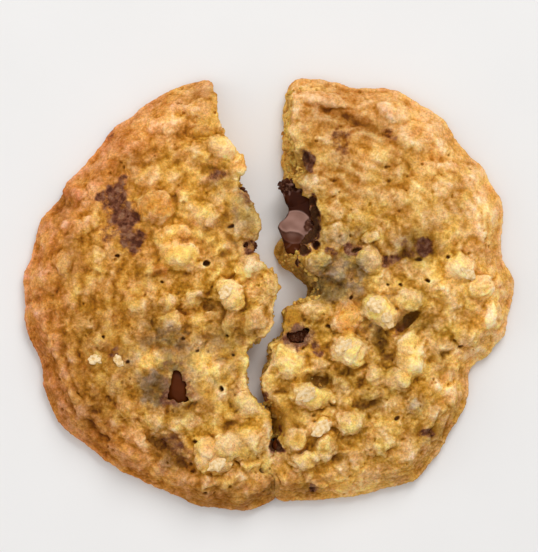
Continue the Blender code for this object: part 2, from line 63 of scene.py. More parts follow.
# The large lumps of oats: x, y, length, width, turn in degrees, height, and tint from -1, orange, to 1, pale
LUMPS = (
    (-25.0, 19.5, 9.0, 8.0, 10, 2.8, -0.75), (-20.0, 8.8, 9.5, 7.0, 160, 2.2, 1.0),
    (-24.2, 5.6, 5.0, 3.5, 20, 0.8, -0.8), (-8.3, -0.2, 6.0, 8.0, 15, 2.3, 0.9),
    (-3.3, -5.8, 6.5, 5.8, 30, 1.8, -0.5), (-10.5, 33.0, 8.0, 5.0, 150, 1.7, 0.9),
    (-6.2, 28.8, 5.5, 4.5, 0, 0.7, -0.5), (-14.5, 17.8, 9.0, 5.0, 160, 1.2, 0.4),
    (-5.0, 16.5, 8.0, 10.0, 0, 1.5, 0.0), (-4.2, 6.2, 8.0, 5.5, 15, 1.7, 0.5),
    (0.2, 2.6, 5.0, 5.0, 0, 1.2, 0.3), (-22.0, 13.3, 9.0, 4.5, 20, 1.2, -0.3),
    (-21.8, -6.0, 7.0, 5.0, 10, 1.4, 0.4), (-22.8, -1.6, 6.0, 4.5, 30, 1.3, -0.3),
    (-17.2, -0.8, 5.5, 4.2, 20, 1.3, 0.2), (-8.0, -6.2, 6.0, 5.0, 40, 1.2, -0.4),
    (-31.4, -25.4, 7.0, 5.0, 130, 1.5, -0.4), (-25.2, -27.9, 6.0, 5.0, 0, 1.4, 0.3),
    (-19.2, -28.4, 8.0, 6.0, 0, 1.3, 0.2), (-4.6, -24.6, 7.0, 5.8, 160, 1.9, 0.8),
    (-14.4, -35.6, 5.5, 8.5, 10, 2.2, 0.7), (-9.4, -33.6, 7.5, 7.0, 0, 2.4, 0.7),
    (-11.6, -37.6, 7.0, 4.0, 10, 1.8, 1.0), (-4.4, -33.0, 7.0, 8.0, 0, 1.5, 0.4),
    (-13.0, -41.8, 9.5, 3.2, 0, 1.0, 0.3), (-41.0, 15.5, 8.0, 4.5, 20, 1.0, 0.0),
    (-44.0, 22.7, 5.5, 5.0, 0, 1.3, -0.5), (-23.0, 38.0, 9.0, 4.5, 8, 1.0, 0.0),
    (-16.0, 41.6, 7.0, 5.0, 0, 1.0, -0.3), (-46.0, 7.0, 4.5, 6.0, 0, 1.0, -0.4),
    (-38.6, 8.0, 4.5, 7.0, 10, 1.0, 0.1), (24.6, -3.6, 9.5, 6.6, 140, 2.7, 1.0),
    (18.0, -12.6, 9.0, 7.6, 0, 2.7, 1.0), (17.8, -5.0, 7.5, 8.5, 20, 1.9, -0.85),
    (22.2, 8.0, 6.0, 6.6, 0, 2.1, 0.7), (22.6, 12.6, 4.2, 2.8, 0, 1.5, 0.5),
    (31.6, -1.2, 6.8, 5.8, 0, 1.8, 0.7), (31.6, -13.4, 7.5, 11.0, 8, 1.9, 0.5),
    (28.4, -19.0, 7.0, 5.6, 10, 1.7, 0.6), (4.6, -15.2, 8.0, 9.0, 20, 2.1, 0.7),
    (9.4, -22.6, 10.5, 5.6, 175, 2.2, 0.8), (11.6, -29.6, 5.0, 3.2, 10, 1.8, 1.0),
    (18.2, -28.6, 7.0, 6.0, 0, 1.8, 0.5), (12.6, -33.8, 5.6, 7.0, 0, 1.7, 0.4),
    (8.2, -37.0, 7.5, 5.0, 10, 2.0, 0.5), (5.6, -32.4, 5.0, 6.5, 160, 1.5, 0.3),
    (24.0, -33.4, 8.0, 7.0, 0, 1.2, 0.1), (32.8, -25.0, 5.0, 6.0, 0, 1.4, 0.2),
    (50.2, -4.6, 4.6, 7.0, 0, 1.5, 0.4), (42.6, 6.0, 7.0, 5.5, 0, 1.4, 0.8),
    (47.6, 1.8, 6.5, 6.5, 0, 1.4, 0.6), (27.6, 21.4, 7.0, 5.0, 0, 1.0, 0.3),
    (11.0, 24.4, 10.0, 4.6, 165, 1.3, 0.3), (13.8, 18.8, 7.5, 3.6, 175, 1.1, -0.3),
    (14.6, 13.0, 7.5, 6.6, 0, 1.4, 0.3), (11.2, 7.6, 6.0, 5.6, 0, 1.5, -0.2),
    (23.6, -17.4, 3.6, 4.6, 0, 1.3, 0.4), (28.0, 41.0, 9.0, 5.0, 165, 1.0, -0.3),
    (12.0, 43.6, 13.0, 4.0, 172, 1.2, -0.4), (44.0, -9.4, 7.0, 4.6, 150, 1.2, 0.1),
)

# Holes in the crust: x, y, length, width, turn in degrees, depth
PITS = (
    (-33.8, 8.6, 1.2, 0.9, 0, 1.0), (-13.8, 7.0, 1.4, 1.3, 0, 1.6), (-8.5, 15.2, 2.0, 1.0, 20, 1.0),
    (-23.9, 2.9, 1.0, 0.7, 0, 0.8), (-10.7, -21.0, 1.1, 1.1, 0, 1.6), (-9.3, -9.2, 0.9, 0.7, 0, 0.8),
    (-19.2, -9.8, 1.0, 0.7, 0, 0.8), (-16.0, -12.5, 1.1, 0.7, 30, 0.8), (-31.5, -15.0, 1.1, 0.8, 0, 0.8),
    (-37.0, -9.5, 0.9, 0.7, 0, 0.7), (-16.5, -32.8, 1.3, 0.8, 0, 0.8), (-8.0, -13.5, 0.8, 0.8, 0, 0.8),
    (-14.3, -44.3, 1.1, 0.8, 0, 0.8), (35.3, 3.2, 1.2, 0.9, 0, 1.1), (26.5, 2.3, 1.0, 0.7, 0, 0.9),
    (29.3, 2.3, 0.9, 0.7, 0, 0.8), (18.2, -0.5, 0.9, 0.8, 0, 0.8), (28.5, -27.5, 1.3, 1.0, 0, 0.8),
    (43.0, -11.8, 1.3, 0.8, 0, 0.7), (40.0, 8.5, 1.0, 0.8, 0, 0.8), (9.8, -43.5, 1.6, 1.1, 0, 0.8),
    (12.9, -7.0, 1.0, 0.9, 0, 0.8), (33.4, 8.0, 2.0, 1.0, 20, 0.8), (19.5, 9.9, 2.6, 1.0, 20, 1.0),
    (-1.0, -39.2, 2.2, 1.2, 10, 1.2),
)

# Shadowed hollows between the lumps: x, y, length, width, turn in degrees, depth
HOLLOWS = (
    (31.0, -6.0, 6.0, 2.2, 35, 0.9), (11.5, -19.0, 6.0, 2.6, 0, 0.8), (22.5, -24.5, 6.4, 2.2, 10, 0.8),
    (18.5, -17.6, 4.6, 2.0, 0, 0.7), (39.5, -13.5, 3.6, 2.0, 10, 0.6), (7.6, 31.0, 2.2, 3.6, 20, 0.8),
    (24.6, -10.0, 3.4, 9.0, 20, 0.8), (-14.0, -2.0, 6.0, 2.0, 150, 0.4), (-25.0, 4.2, 4.6, 2.0, 0, 0.6),
    (20.6, -20.0, 3.0, 4.0, 0, 0.6), (14.6, -8.0, 3.0, 4.0, 0, 0.6), (25.0, 2.6, 5.0, 2.0, 0, 0.4),
    (9.6, 1.6, 4.0, 5.0, 20, 0.7), (15.0, 2.6, 4.6, 3.0, 0, 0.6), (30.5, 8.6, 7.0, 2.6, 10, 0.6),
    (-9.0, -28.6, 6.0, 2.0, 0, 0.5), (-17.6, -24.8, 6.0, 2.2, 20, 0.5), (16.0, -37.0, 5.0, 2.6, 0, 0.6),
    (3.4, -21.6, 5.0, 2.2, 20, 0.6), (14.6, -24.8, 6.0, 2.0, 170, 0.5), (-9.4, 8.6, 5.0, 2.0, 30, 0.5),
    (-4.4, -13.0, 5.0, 2.6, 20, 0.5), (-15.0, 28.0, 6.0, 2.4, 160, 0.5), (37.0, -30.6, 4.0, 2.4, 40, 0.5),
    (2.0, -42.6, 1.8, 4.0, 0, 0.8),
)

# Folds in the crust: depth, width, then the points that each runs through
FOLDS = (
    (0.45, 1.6, (12.0, 41.8), (15.5, 41.0), (19.5, 38.4), (26.5, 35.8)),
    (0.35, 1.4, (26.0, 34.4), (31.0, 32.4), (37.0, 30.6), (44.0, 29.4)),
    (0.4, 1.2, (-20.0, 36.2), (-15.0, 36.2), (-10.0, 36.9)),
    (0.6, 1.4, (-49.0, -13.0), (-47.0, -21.0), (-43.0, -27.0), (-37.0, -32.5)),
    (0.5, 1.2, (-46.0, -14.0), (-43.0, -21.0), (-39.0, -26.5)),
    (0.4, 1.4, (-27.0, -31.5), (-21.0, -36.0), (-17.5, -39.4)),
    (0.7, 1.2, (-26.0, 15.6), (-21.0, 16.8), (-18.0, 15.6)),
    (0.8, 1.2, (-13.0, 0.4), (-11.5, 3.2), (-8.0, 4.6)),
)

# Chocolate that shows through the crust: x, y, length, width, turn in degrees, strength
SMEARS = (
    (-34.6, 21.6, 7.0, 5.5, 50, 0.85), (-32.4, 17.2, 7.5, 7.0, 0, 1.0), (-30.6, 12.4, 7.0, 5.5, 110, 0.9),
    (-11.6, 27.0, 4.6, 3.2, 0, 0.6), (-36.2, 36.0, 3.4, 2.6, 40, 0.55), (-34.6, -12.8, 3.6, 2.2, 20, 0.6),
    (-21.4, -15.6, 5.0, 2.6, 0, 0.5), (-22.4, -23.4, 5.0, 3.6, 0, 0.7), (-20.6, -34.2, 4.4, 8.6, 45, 0.5),
    (-4.2, 22.0, 4.2, 3.4, 0, 0.5), (-3.8, 10.6, 3.2, 3.2, 0, 0.8), (-36.0, 13.6, 3.6, 4.0, 0, 0.4),
    (16.2, 34.6, 4.0, 7.8, 10, 0.5), (27.5, 36.0, 3.4, 2.2, 0, 0.5), (34.6, 10.8, 4.2, 5.0, 20, 0.85),
    (31.6, 9.4, 4.6, 3.0, 20, 0.45), (27.0, 7.6, 5.4, 2.6, 10, 0.7), (30.5, 11.5, 2.6, 2.0, 0, 0.5),
    (35.0, -31.0, 3.6, 2.4, 0, 0.7), (9.8, -43.5, 2.2, 1.8, 0, 0.8), (8.7, 29.6, 3.0, 5.2, 20, 1.0),
    (9.7, 20.9, 2.4, 2.6, 20, 1.6), (10.0, 17.6, 2.6, 5.4, 0, 1.6), (9.9, 14.8, 2.6, 3.2, 0, 1.6),
    (8.9, 12.5, 4.0, 2.6, 20, 1.6), (10.5, 11.0, 1.8, 2.0, 0, 1.4), (8.0, 10.2, 2.2, 2.6, 0, 1.4),
    (6.5, 7.6, 0.9, 2.4, 0, 1.4), (6.2, -9.6, 7.2, 5.4, 20, 1.0), (10.8, -12.2, 3.6, 2.4, 140, 0.7),
    (2.6, -30.4, 2.6, 2.0, 0, 0.5), (13.6, 9.4, 3.0, 2.0, 0, 0.6), (18.8, 10.2, 4.4, 2.6, 20, 0.8),
    (29.4, -8.0, 4.0, 2.0, 40, 0.5), (-20.4, -20.8, 6.0, 8.8, 10, 0.45), (1.4, -33.8, 3.4, 3.2, 0, 1.6),
    (-0.8, -22.6, 1.6, 1.6, 0, 1.0), (-37.4, 22.0, 3.0, 3.4, 0, 0.8), (-32.6, 25.6, 2.6, 2.4, 30, 0.6),
    (-35.0, 14.2, 4.0, 3.4, 20, 0.6),
)

# Dough that melted chocolate has greyed: x, y, length, width, turn in degrees, strength
GREYS = (
    (-22.4, -9.8, 13.0, 6.5, 165, 0.75), (-25.4, -21.0, 7.0, 8.0, 0, 1.3), (-21.0, -19.0, 10.0, 14.0, 0, 0.7),
    (-10.5, 25.0, 9.0, 6.0, 0, 0.4), (-5.0, 19.6, 7.0, 9.0, 0, 0.45), (-30.0, -14.0, 9.0, 5.0, 0, 0.4),
    (-12.0, -10.0, 10.0, 6.0, 0, 0.35), (15.6, 3.8, 13.0, 11.0, 20, 1.1), (18.6, 13.0, 9.0, 7.0, 0, 0.5),
    (32.4, -24.0, 4.4, 5.0, 0, 0.55), (29.6, 10.0, 10.0, 7.0, 0, 0.4), (9.0, 3.4, 8.0, 7.0, 0, 0.5),
    (-22.0, -36.0, 8.0, 11.0, 45, 0.4), (11.0, -18.6, 6.0, 3.4, 0, 0.35),
)

# Bare yellow dough beside the tear: x, y, length, width, turn in degrees, strength
OLIVES = (
    (5.2, -5.2, 5.0, 5.0, 0, 1.0), (2.6, -27.6, 7.0, 9.0, 0, 0.9), (5.0, 5.4, 9.0, 9.0, 0, 0.6),
    (4.6, 30.0, 5.0, 6.0, 0, 0.35), (-7.4, 14.8, 8.0, 9.0, 0, 0.35), (-12.0, 15.0, 8.0, 7.0, 0, 0.25),
)

# Patches of crust that are darker or paler than the rest, some painted shade in the hollows and at the front
# rim, some painted light at the right rim: x, y, length, width, turn in degrees, strength
TONES_AND_SHADING = (
    (-14.0, -1.5, 8.0, 4.0, 150, -0.35), (-25.0, 4.4, 6.0, 3.4, 0, -0.4), (-24.5, -4.5, 8.0, 6.0, 0, -0.3),
    (-46.0, 20.0, 5.0, 8.0, 0, -0.5), (-44.0, 10.0, 5.0, 9.0, 0, -0.3), (-36.0, 2.0, 6.0, 5.0, 0, -0.1),
    (-41.0, -28.0, 9.0, 18.0, 40, -0.2), (-10.0, -45.5, 28.0, 8.0, 0, -0.55),
    (-30.0, -38.0, 16.0, 6.0, 150, -0.2), (-22.0, -35.5, 6.0, 11.0, 40, -0.7),
    (-7.0, -7.5, 11.0, 9.0, 0, -0.5), (-11.0, 27.5, 8.0, 4.0, 160, -0.4), (-15.0, 45.0, 10.0, 4.0, 20, -0.3),
    (-5.0, 20.0, 6.0, 7.0, 0, -0.3), (-3.0, 13.0, 6.0, 10.0, 0, -0.3), (-31.0, 30.0, 9.0, 4.0, 20, -0.3),
    (2.0, -28.0, 5.0, 10.0, 0, 0.4), (3.0, 35.0, 5.0, 16.0, 0, 0.6), (13.0, 40.0, 9.0, 7.0, 0, -0.25),
    (21.0, 37.8, 14.0, 4.0, 155, -0.5), (16.0, 33.0, 6.0, 9.0, 0, -0.3), (8.0, 29.0, 5.0, 9.0, 170, -0.7),
    (24.8, -10.0, 4.4, 11.0, 20, -0.5), (32.0, -6.0, 13.0, 4.0, 0, -0.7), (14.0, -19.0, 12.0, 5.0, 0, -0.5),
    (22.5, -24.0, 7.0, 6.0, 0, -0.7), (26.0, -16.0, 8.0, 6.0, 0, -0.25), (36.0, -31.0, 8.0, 5.0, 0, -0.7),
    (18.0, -43.5, 14.0, 5.0, 5, 0.6), (0.6, -42.5, 2.4, 7.0, 0, -0.9), (9.0, -43.5, 7.0, 4.0, 0, -0.5),
    (33.5, 11.0, 11.0, 9.0, 20, -0.7), (14.0, 6.0, 13.0, 11.0, 0, 0.1), (9.0, 4.0, 8.0, 8.0, 0, -0.3),
    (13.0, 2.0, 6.0, 5.0, 0, -0.6), (38.5, -15.0, 9.0, 4.0, 0, -0.4), (12.0, 14.0, 5.0, 12.0, 0, -0.5),
    (10.0, -7.0, 7.0, 6.0, 0, -0.6), (-24.0, 38.0, 16.0, 8.0, 30, 0.3), (-8.0, 33.0, 7.0, 6.0, 0, 0.5),
    (-39.0, 35.0, 12.0, 5.0, 45, 0.5), (-20.0, 10.5, 11.0, 9.0, 0, 0.5), (42.0, 4.5, 14.0, 9.0, 0, 0.6),
    (50.5, -4.0, 9.0, 20.0, 0, 0.55), (49.0, 20.0, 9.0, 22.0, 10, 0.5), (36.0, 36.0, 20.0, 10.0, 135, 0.4),
    (26.0, -4.0, 9.0, 7.0, 140, 1.0), (22.0, 32.0, 9.0, 5.0, 0, 0.3), (5.0, -15.0, 8.0, 8.0, 0, 0.5),
    (32.5, -14.0, 8.0, 10.0, 0, 0.5), (18.0, -13.5, 8.0, 6.0, 0, 0.6), (-12.5, -34.0, 12.0, 9.0, 0, 0.15),
    (10.0, -22.5, 9.0, 5.0, 0, 0.4), (-3.5, -28.0, 7.0, 7.0, 0, 0.3), (12.0, -29.0, 6.0, 5.0, 0, 0.4),
    (-7.0, 1.5, 7.0, 8.0, 0, 0.5), (30.0, 43.0, 18.0, 6.0, 155, 0.2), (8.0, 46.0, 10.0, 5.0, 0, 0.3),
    (40.0, -20.5, 8.0, 6.0, 0, 0.5), (42.0, 14.0, 9.0, 8.0, 0, 0.2), (-39.0, -17.0, 24.0, 30.0, 0, -0.38),
    (-26.0, 26.0, 10.0, 6.0, 0, 0.1), (-27.5, -14.5, 8.0, 6.0, 0, 0.9), (-15.5, -15.5, 9.0, 8.0, 0, 0.5),
    (-25.0, -21.5, 4.0, 5.0, 0, -0.8), (-22.5, -16.0, 6.0, 3.0, 0, -0.3), (-22.0, -10.2, 8.0, 3.4, 165, -0.5),
    (-38.0, -27.0, 14.0, 9.0, 130, -0.1), (-17.0, -26.0, 9.0, 5.0, 0, -0.35), (-4.0, 4.0, 8.0, 8.0, 0, 0.3),
    (16.0, 25.0, 16.0, 9.0, 0, -0.15), (25.0, 3.0, 9.0, 6.0, 0, 0.25), (36.0, 25.0, 10.0, 10.0, 0, 0.3),
    (-14.0, 22.0, 20.0, 40.0, 0, 0.2), (-28.0, -44.0, 14.0, 4.0, 150, 0.3), (44.0, -14.0, 8.0, 6.0, 0, 0.75),
    (-7.0, 29.0, 8.0, 4.0, 150, 0.4), (15.0, -5.5, 9.0, 9.0, 0, 0.3), (5.0, 24.0, 6.0, 8.0, 0, -0.3),
    (-45.0, 5.0, 9.0, 10.0, 0, -0.2),
)

# Smoother crust of a deeper orange: x, y, length, width, turn in degrees, strength
PEACHES = (
    (17.0, 40.0, 34.0, 20.0, 165, 1.0), (16.0, 27.0, 18.0, 14.0, 0, 0.8), (34.0, 28.0, 24.0, 26.0, 0, 0.55),
    (50.0, 16.0, 12.0, 24.0, 10, 0.4), (-28.0, 36.0, 30.0, 14.0, 35, 0.35),
)

# Pale dull dough near the chocolate: x, y, length, width, turn in degrees, strength
ASHES = (
    (-26.0, -15.0, 12.0, 8.0, 0, 1.0), (-14.0, -16.5, 13.0, 13.0, 0, 0.7), (-5.0, 16.0, 9.0, 14.0, 0, 0.6),
    (-13.0, 14.0, 10.0, 8.0, 0, 0.4), (16.0, 5.5, 13.0, 11.0, 0, 0.4), (25.0, -3.0, 10.0, 12.0, 0, 0.35),
)

# Oat flakes that stand out of the crust: x, y, length, width, turn in degrees, tilt in degrees
FLAKES = (
    (-38.6, -14.4, 3.0, 1.9, 10, 18), (-33.3, -14.6, 2.1, 3.0, 15, 26), (11.6, -29.8, 4.2, 2.4, 12, 14),
    (-11.6, -37.8, 3.8, 2.4, 10, 10), (23.6, -2.4, 3.6, 2.6, 130, 16), (16.6, -11.6, 3.8, 2.6, 20, 12),
    (26.4, -5.6, 3.4, 2.2, 60, 20), (-9.6, 0.6, 3.2, 2.2, 70, 16), (8.4, -22.0, 4.4, 2.6, 170, 12),
    (44.6, 4.6, 3.6, 2.4, 30, 14),
)

# The melted chip: middle and size of its round foot, and where its broken, crumbly top begins
FOOT_MIDDLE = (5.9, 15.1)
FOOT_RADIUS = 3.9
BROKEN_FROM = 22.6

# The curl across the chip's face, and how wide it is
SWIRL = (
    (2.0, 15.4), (2.9, 14.4), (3.8, 14.0), (4.7, 14.2), (5.6, 14.1), (6.6, 13.9), (7.5, 13.4), (8.4, 12.6)
)
SWIRL_WIDTH = 0.3

# The scuff beside the face, the bite that the chip's neck takes from it, and its tail
SCUFF = (8.7, 15.4, 1.7, 3.0, 165)
BITE_MIDDLE = (1.5, 19.3)
BITE_RADIUS = 3.0
TAIL = (8.5, 12.4, 2.2, 3.2, 0)

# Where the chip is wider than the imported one: x, y, reach, and how much
SWELLINGS = (
    (3.6, 22.4, 2.0, 0.6), (7.8, 22.0, 2.0, 0.9), (9.0, 20.0, 1.8, 1.0), (4.6, 20.2, 1.4, 0.6),
    (2.9, 17.8, 1.1, -0.7), (2.2, 15.0, 0.9, 0.4), (4.0, 11.6, 1.6, 1.0), (8.4, 11.6, 1.8, 1.2),
    (5.0, 9.8, 1.4, 0.9), (7.4, 9.8, 1.4, 0.9), (6.0, 25.0, 1.3, 0.7), (2.4, 24.2, 0.7, 0.4),
)

# Small highlights on the chip: x, y, length, width, turn in degrees, strength
GLINTS = (
    (4.3, 10.8, 1.5, 0.5, 35, 0.8), (6.1, 10.1, 1.1, 0.4, 140, 0.7), (8.3, 10.8, 0.5, 1.2, 0, 0.7),
    (3.3, 22.3, 0.5, 0.9, 20, 0.6), (4.6, 22.6, 0.4, 0.9, 0, 0.5), (6.6, 23.2, 0.9, 0.5, 30, 0.5),
    (2.2, 24.2, 0.7, 0.7, 0, 0.5), (4.9, 24.6, 1.8, 0.5, 5, 0.6), (7.4, 13.4, 0.6, 0.3, 0, 0.4),
)

# How much of the bake map a millimetre takes, on the crust and walls and on the base
BAKE_SCALE = 0.0085
BAKE_BASE_SCALE = 0.0044

# How often each copied solid is smoothed, and the spacing of the chips' points in millimetres
DOUGH_SOFTENING = 14
CHIP_GRID = 0.16
CHIP_SOFTENING = 4
MELTED_GRID = 0.13
MELTED_SOFTENING = 8

# How often values are averaged with their neighbours, to find small creases, even crust and large lumps
CREASE_PASSES = 16
EVEN_PASSES = 24
LUMP_PASSES = 110

# How much of a packed lump or dent melts away
LUMP_MELT = 0.7
DENT_MELT = 0.85

# How rough the crust is where it is smooth, what the middle adds, and what the rim and the back take away
SMOOTH_SHARE = 0.46
MIDDLE_GAIN = 0.15
RIM_LOSS = 0.2
BACK_LOSS = 0.42

# How far each torn face stands out at the front, and how far and where the right one stands back
FRONT_CLOSING = 0.6
SET_BACK = 0.9
SET_BACK_Y = -17.0

# How much of its surroundings each finish mirrors
DOUGH_SHINE = 0.10
CHOCOLATE_SHINE = 0.06
OAT_SHINE = 0.3
FLOOR_SHINE = 0.2

# The stage, in metres: half the floor's width, its level, and the size and place of both lamps
FLOOR_REACH = 0.9
FLOOR_LEVEL = -0.00005
KEY_SIZE = 0.95
KEY_PLACE = (0.38, 1.10, 1.10)
FILL_SIZE = 0.7
FILL_PLACE = (-0.75, -0.05, 0.32)

# The picture in millimetres: its long side, its middle behind the cookie's, its level, and the sensor
PICTURE_PIXELS = 552
PIXEL = 0.225
PICTURE_MIDDLE_Y = 4.16
PICTURE_LEVEL = 2.5
SENSOR_WIDTH = 36.0


class CookieForm(bpy.types.PropertyGroup):
    """Sizes of the fine relief."""

    grid: bpy.props.FloatProperty(
        name="Grid",
        description="Spacing of the dough's points, in millimetres",
        default=0.26,
        min=0.2,
        max=1.0,
    )
    lump_lift: bpy.props.FloatProperty(
        name="Lump Lift", description="Extra height of a lump, as a share of its height", default=0.36
    )
    oat_size: bpy.props.FloatProperty(
        name="Oat Size", description="Size of the packed oats, in millimetres", default=5.0, min=0.5
    )
    oat_height: bpy.props.FloatProperty(
        name="Oat Height", description="Height of the packed oats, in millimetres", default=1.1
    )
    knob_height: bpy.props.FloatProperty(
        name="Knob Height", description="Height of the small knobs, in millimetres", default=0.45
    )
    grain_height: bpy.props.FloatProperty(
        name="Grain Height", description="Height of the finest grain, in millimetres", default=0.1
    )
    crease: bpy.props.FloatProperty(
        name="Crease", description="Depth of the crease round a lump, as a share of its height", default=0.13
    )
    pores: bpy.props.IntProperty(name="Pores", description="Number of small pores", default=340, min=0)
    crumbs: bpy.props.IntProperty(
        name="Crumbs", description="Number of crumbs on the torn faces", default=400, min=0
    )
    seed: bpy.props.IntProperty(name="Seed", description="Seed of everything placed by chance", default=5)


def colour_property(name, description, default):
    return bpy.props.FloatVectorProperty(
        name=name, description=description, default=default, subtype="COLOR", size=3, min=0.0, max=1.0
    )


class CookieColours(bpy.types.PropertyGroup):
    """Colours of the dough and the chocolate."""

    # Crevice is painted shade in the deepest folds
    crevice_shade: colour_property("Crevice", "Deepest folds of the crust", (0.19, 0.068, 0.004))
    # Pit is painted shade inside the pores
    pore_shade: colour_property("Pit", "Insides of the pores", (0.075, 0.026, 0.006))
    # Low Crust is partly painted shade between the lumps
    low: colour_property("Low Crust", "Crust between the lumps", (0.45, 0.210, 0.021))
    crust: colour_property("Crust", "Most of the crust", (0.66, 0.374, 0.109))
    pale: colour_property("Pale Crust", "Tops of the lumps", (0.84, 0.575, 0.262))
    cream: colour_property("Cream", "Bare oats", (0.94, 0.73, 0.44))
    toasted: colour_property("Toasted", "Tint of the browned rim", (1.0, 0.79, 0.98))
    browned: colour_property("Browned", "Tint of the rim in front", (1.0, 0.77, 0.70))
    ash: colour_property("Ash", "Pale dull dough", (0.70, 0.54, 0.30))
    amber: colour_property("Amber", "Tint of the smooth side", (0.94, 0.81, 0.68))
    peach: colour_property("Peach", "Tint of the smooth back", (1.0, 0.96, 1.0))
    # Russet is painted shade in the creases of the smooth back
    russet_crease_shade: colour_property("Russet", "Tint of the creases in the smooth back", (1.0, 0.86, 0.76))
    yellowed: colour_property("Yellowed", "Tint of the yellower patches", (1.0, 1.0, 0.62))
    ruddy: colour_property("Ruddy", "Tint of the redder patches", (1.0, 0.945, 0.90))
    orange: colour_property("Orange", "Orange lumps", (0.70, 0.27, 0.04))
    crumb: colour_property("Crumb", "Inside of the dough, at the tear", (0.78, 0.48, 0.11))
    # Moist Crumb is partly darker patches of the crumb, partly painted shade in its dents
    moist_and_shade: colour_property("Moist Crumb", "Darker patches of the inside", (0.36, 0.15, 0.012))
    olive: colour_property("Olive", "Bare yellow dough", (0.46, 0.22, 0.02))
    smear: colour_property("Smear", "Chocolate seen through the crust", (0.070, 0.017, 0.009))
    plum: colour_property("Plum", "Half of that chocolate", (0.165, 0.052, 0.026))
    # Haze is partly painted light: on the bumps of the chocolate seen through the crust, and as glints on the
    # broken chips
    haze: colour_property("Haze", "Paler patches of that chocolate", (0.26, 0.125, 0.072))
    reddened: colour_property("Reddened", "Tint of the dough round the chocolate", (0.80, 0.55, 0.50))
    grey: colour_property("Greyed", "Tint of dough that holds melted chocolate", (0.42, 0.44, 0.62))
    chocolate: colour_property("Chocolate", "Dark chocolate", (0.036, 0.0075, 0.0026))
    brown: colour_property("Brown Chocolate", "Chocolate where light passes through", (0.085, 0.0175, 0.0026))
    # Bloom is the pale face of the chip: partly bloom, partly a painted reflection of the bright surroundings
    bloom_and_reflection: colour_property("Bloom", "Pale face of the melted chip", (0.34, 0.190, 0.150))


class CookieStage(bpy.types.PropertyGroup):
    """The floor, the light and the camera."""

    floor: colour_property("Floor", "Colour of the floor", (0.85, 0.843, 0.837))
    sky: bpy.props.FloatProperty(name="Sky", description="Strength of the even light all round", default=0.60)
    key: bpy.props.FloatProperty(name="Key", description="Power of the soft light, in watts", default=13.6)
    fill: bpy.props.FloatProperty(
        name="Fill", description="Power of the weaker light from the side, in watts", default=1.2
    )
    lens: bpy.props.FloatProperty(name="Lens", description="Focal length, in millimetres", default=200.0)


def ease(value, low, high):
    """A smooth step from 0 at low to 1 at high."""
    share = np.clip((value - low) / (high - low), 0.0, 1.0)
    return share * share * (3 - 2 * share)


def oval(spot, x, y):
    """Distance from the middle of an oval spot, as a share of the way to its edge."""
    middle_x, middle_y, length, width, turn = spot[:5]
    turn = math.radians(turn)
    along = (x - middle_x) * math.cos(turn) + (y - middle_y) * math.sin(turn)
    across = (y - middle_y) * math.cos(turn) - (x - middle_x) * math.sin(turn)
    return np.hypot(2 * along / length, 2 * across / width)


def wavy(places, grain, seed):
    """Smooth noise with waves this many millimetres long, from about -1 to 1."""
    shift = Vector((seed, -seed, 2 * seed)) * 7.3
    return np.array([noise.noise(Vector(place) + shift) for place in places / grain])


def billows(places, grain, seed):
    """Noise made of rounded swells with creases between them, from 0 to about 1."""
    return np.sqrt((2 * wavy(places, grain, seed)) ** 2 + 0.01)


def cells(places, grain, seed):
    """Distances to the nearest two of points scattered this many millimetres apart, in that unit."""
    shift = Vector((seed, 3 * seed, -seed)) * 5.1
    return np.array([noise.voronoi(Vector(place) + shift)[0][:2] for place in places / grain]).T


def line_distance(points, x, y):
    """Distance of each place from the line through the points."""
    nearest = np.full(len(x), np.inf)
    for (x0, y0), (x1, y1) in zip(points, points[1:]):
        run_x, run_y = x1 - x0, y1 - y0
        share = np.clip(((x - x0) * run_x + (y - y0) * run_y) / (run_x**2 + run_y**2), 0.0, 1.0)
        nearest = np.minimum(nearest, np.hypot(x - x0 - share * run_x, y - y0 - share * run_y))
    return nearest


def strongest(rows, x, y, outer, inner):
    """The last number of the strongest oval spot at each place, fading from its inner to its outer edge."""
    found = np.zeros(len(x))
    for spot in rows:
        found = np.maximum(found, spot[5] * ease(oval(spot, x, y), outer, inner))
    return found


def spots(rows, x, y, softness=0.35):
    """How strongly these soft spots mark each place."""
    return strongest(rows, x, y, 1 + softness, 1 - softness)


def tones_and_shading(x, y):
    """How much paler or darker the crust is at each place, with its painted shade and painted light."""
    found = np.zeros(len(x))
    for spot in TONES_AND_SHADING:
        found += spot[5] * ease(oval(spot, x, y), 1.45, 0.25)
    return np.clip(found, -1, 1)


def rim_radius(angles):
    """How far out the rim is in each direction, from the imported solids."""
    steps = 120
    edge = np.zeros(steps)
    for node in ("half_left", "half_right"):
        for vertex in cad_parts[node].data.vertices:
            x, y = vertex.co.x / MM, vertex.co.y / MM
            index = int((math.atan2(y, x) / math.tau + 0.5) * steps) % steps
            edge[index] = max(edge[index], math.hypot(x, y))
    middles = (np.arange(steps) + 0.5) / steps * math.tau - math.pi
    return np.interp(angles, middles, edge, period=math.tau)


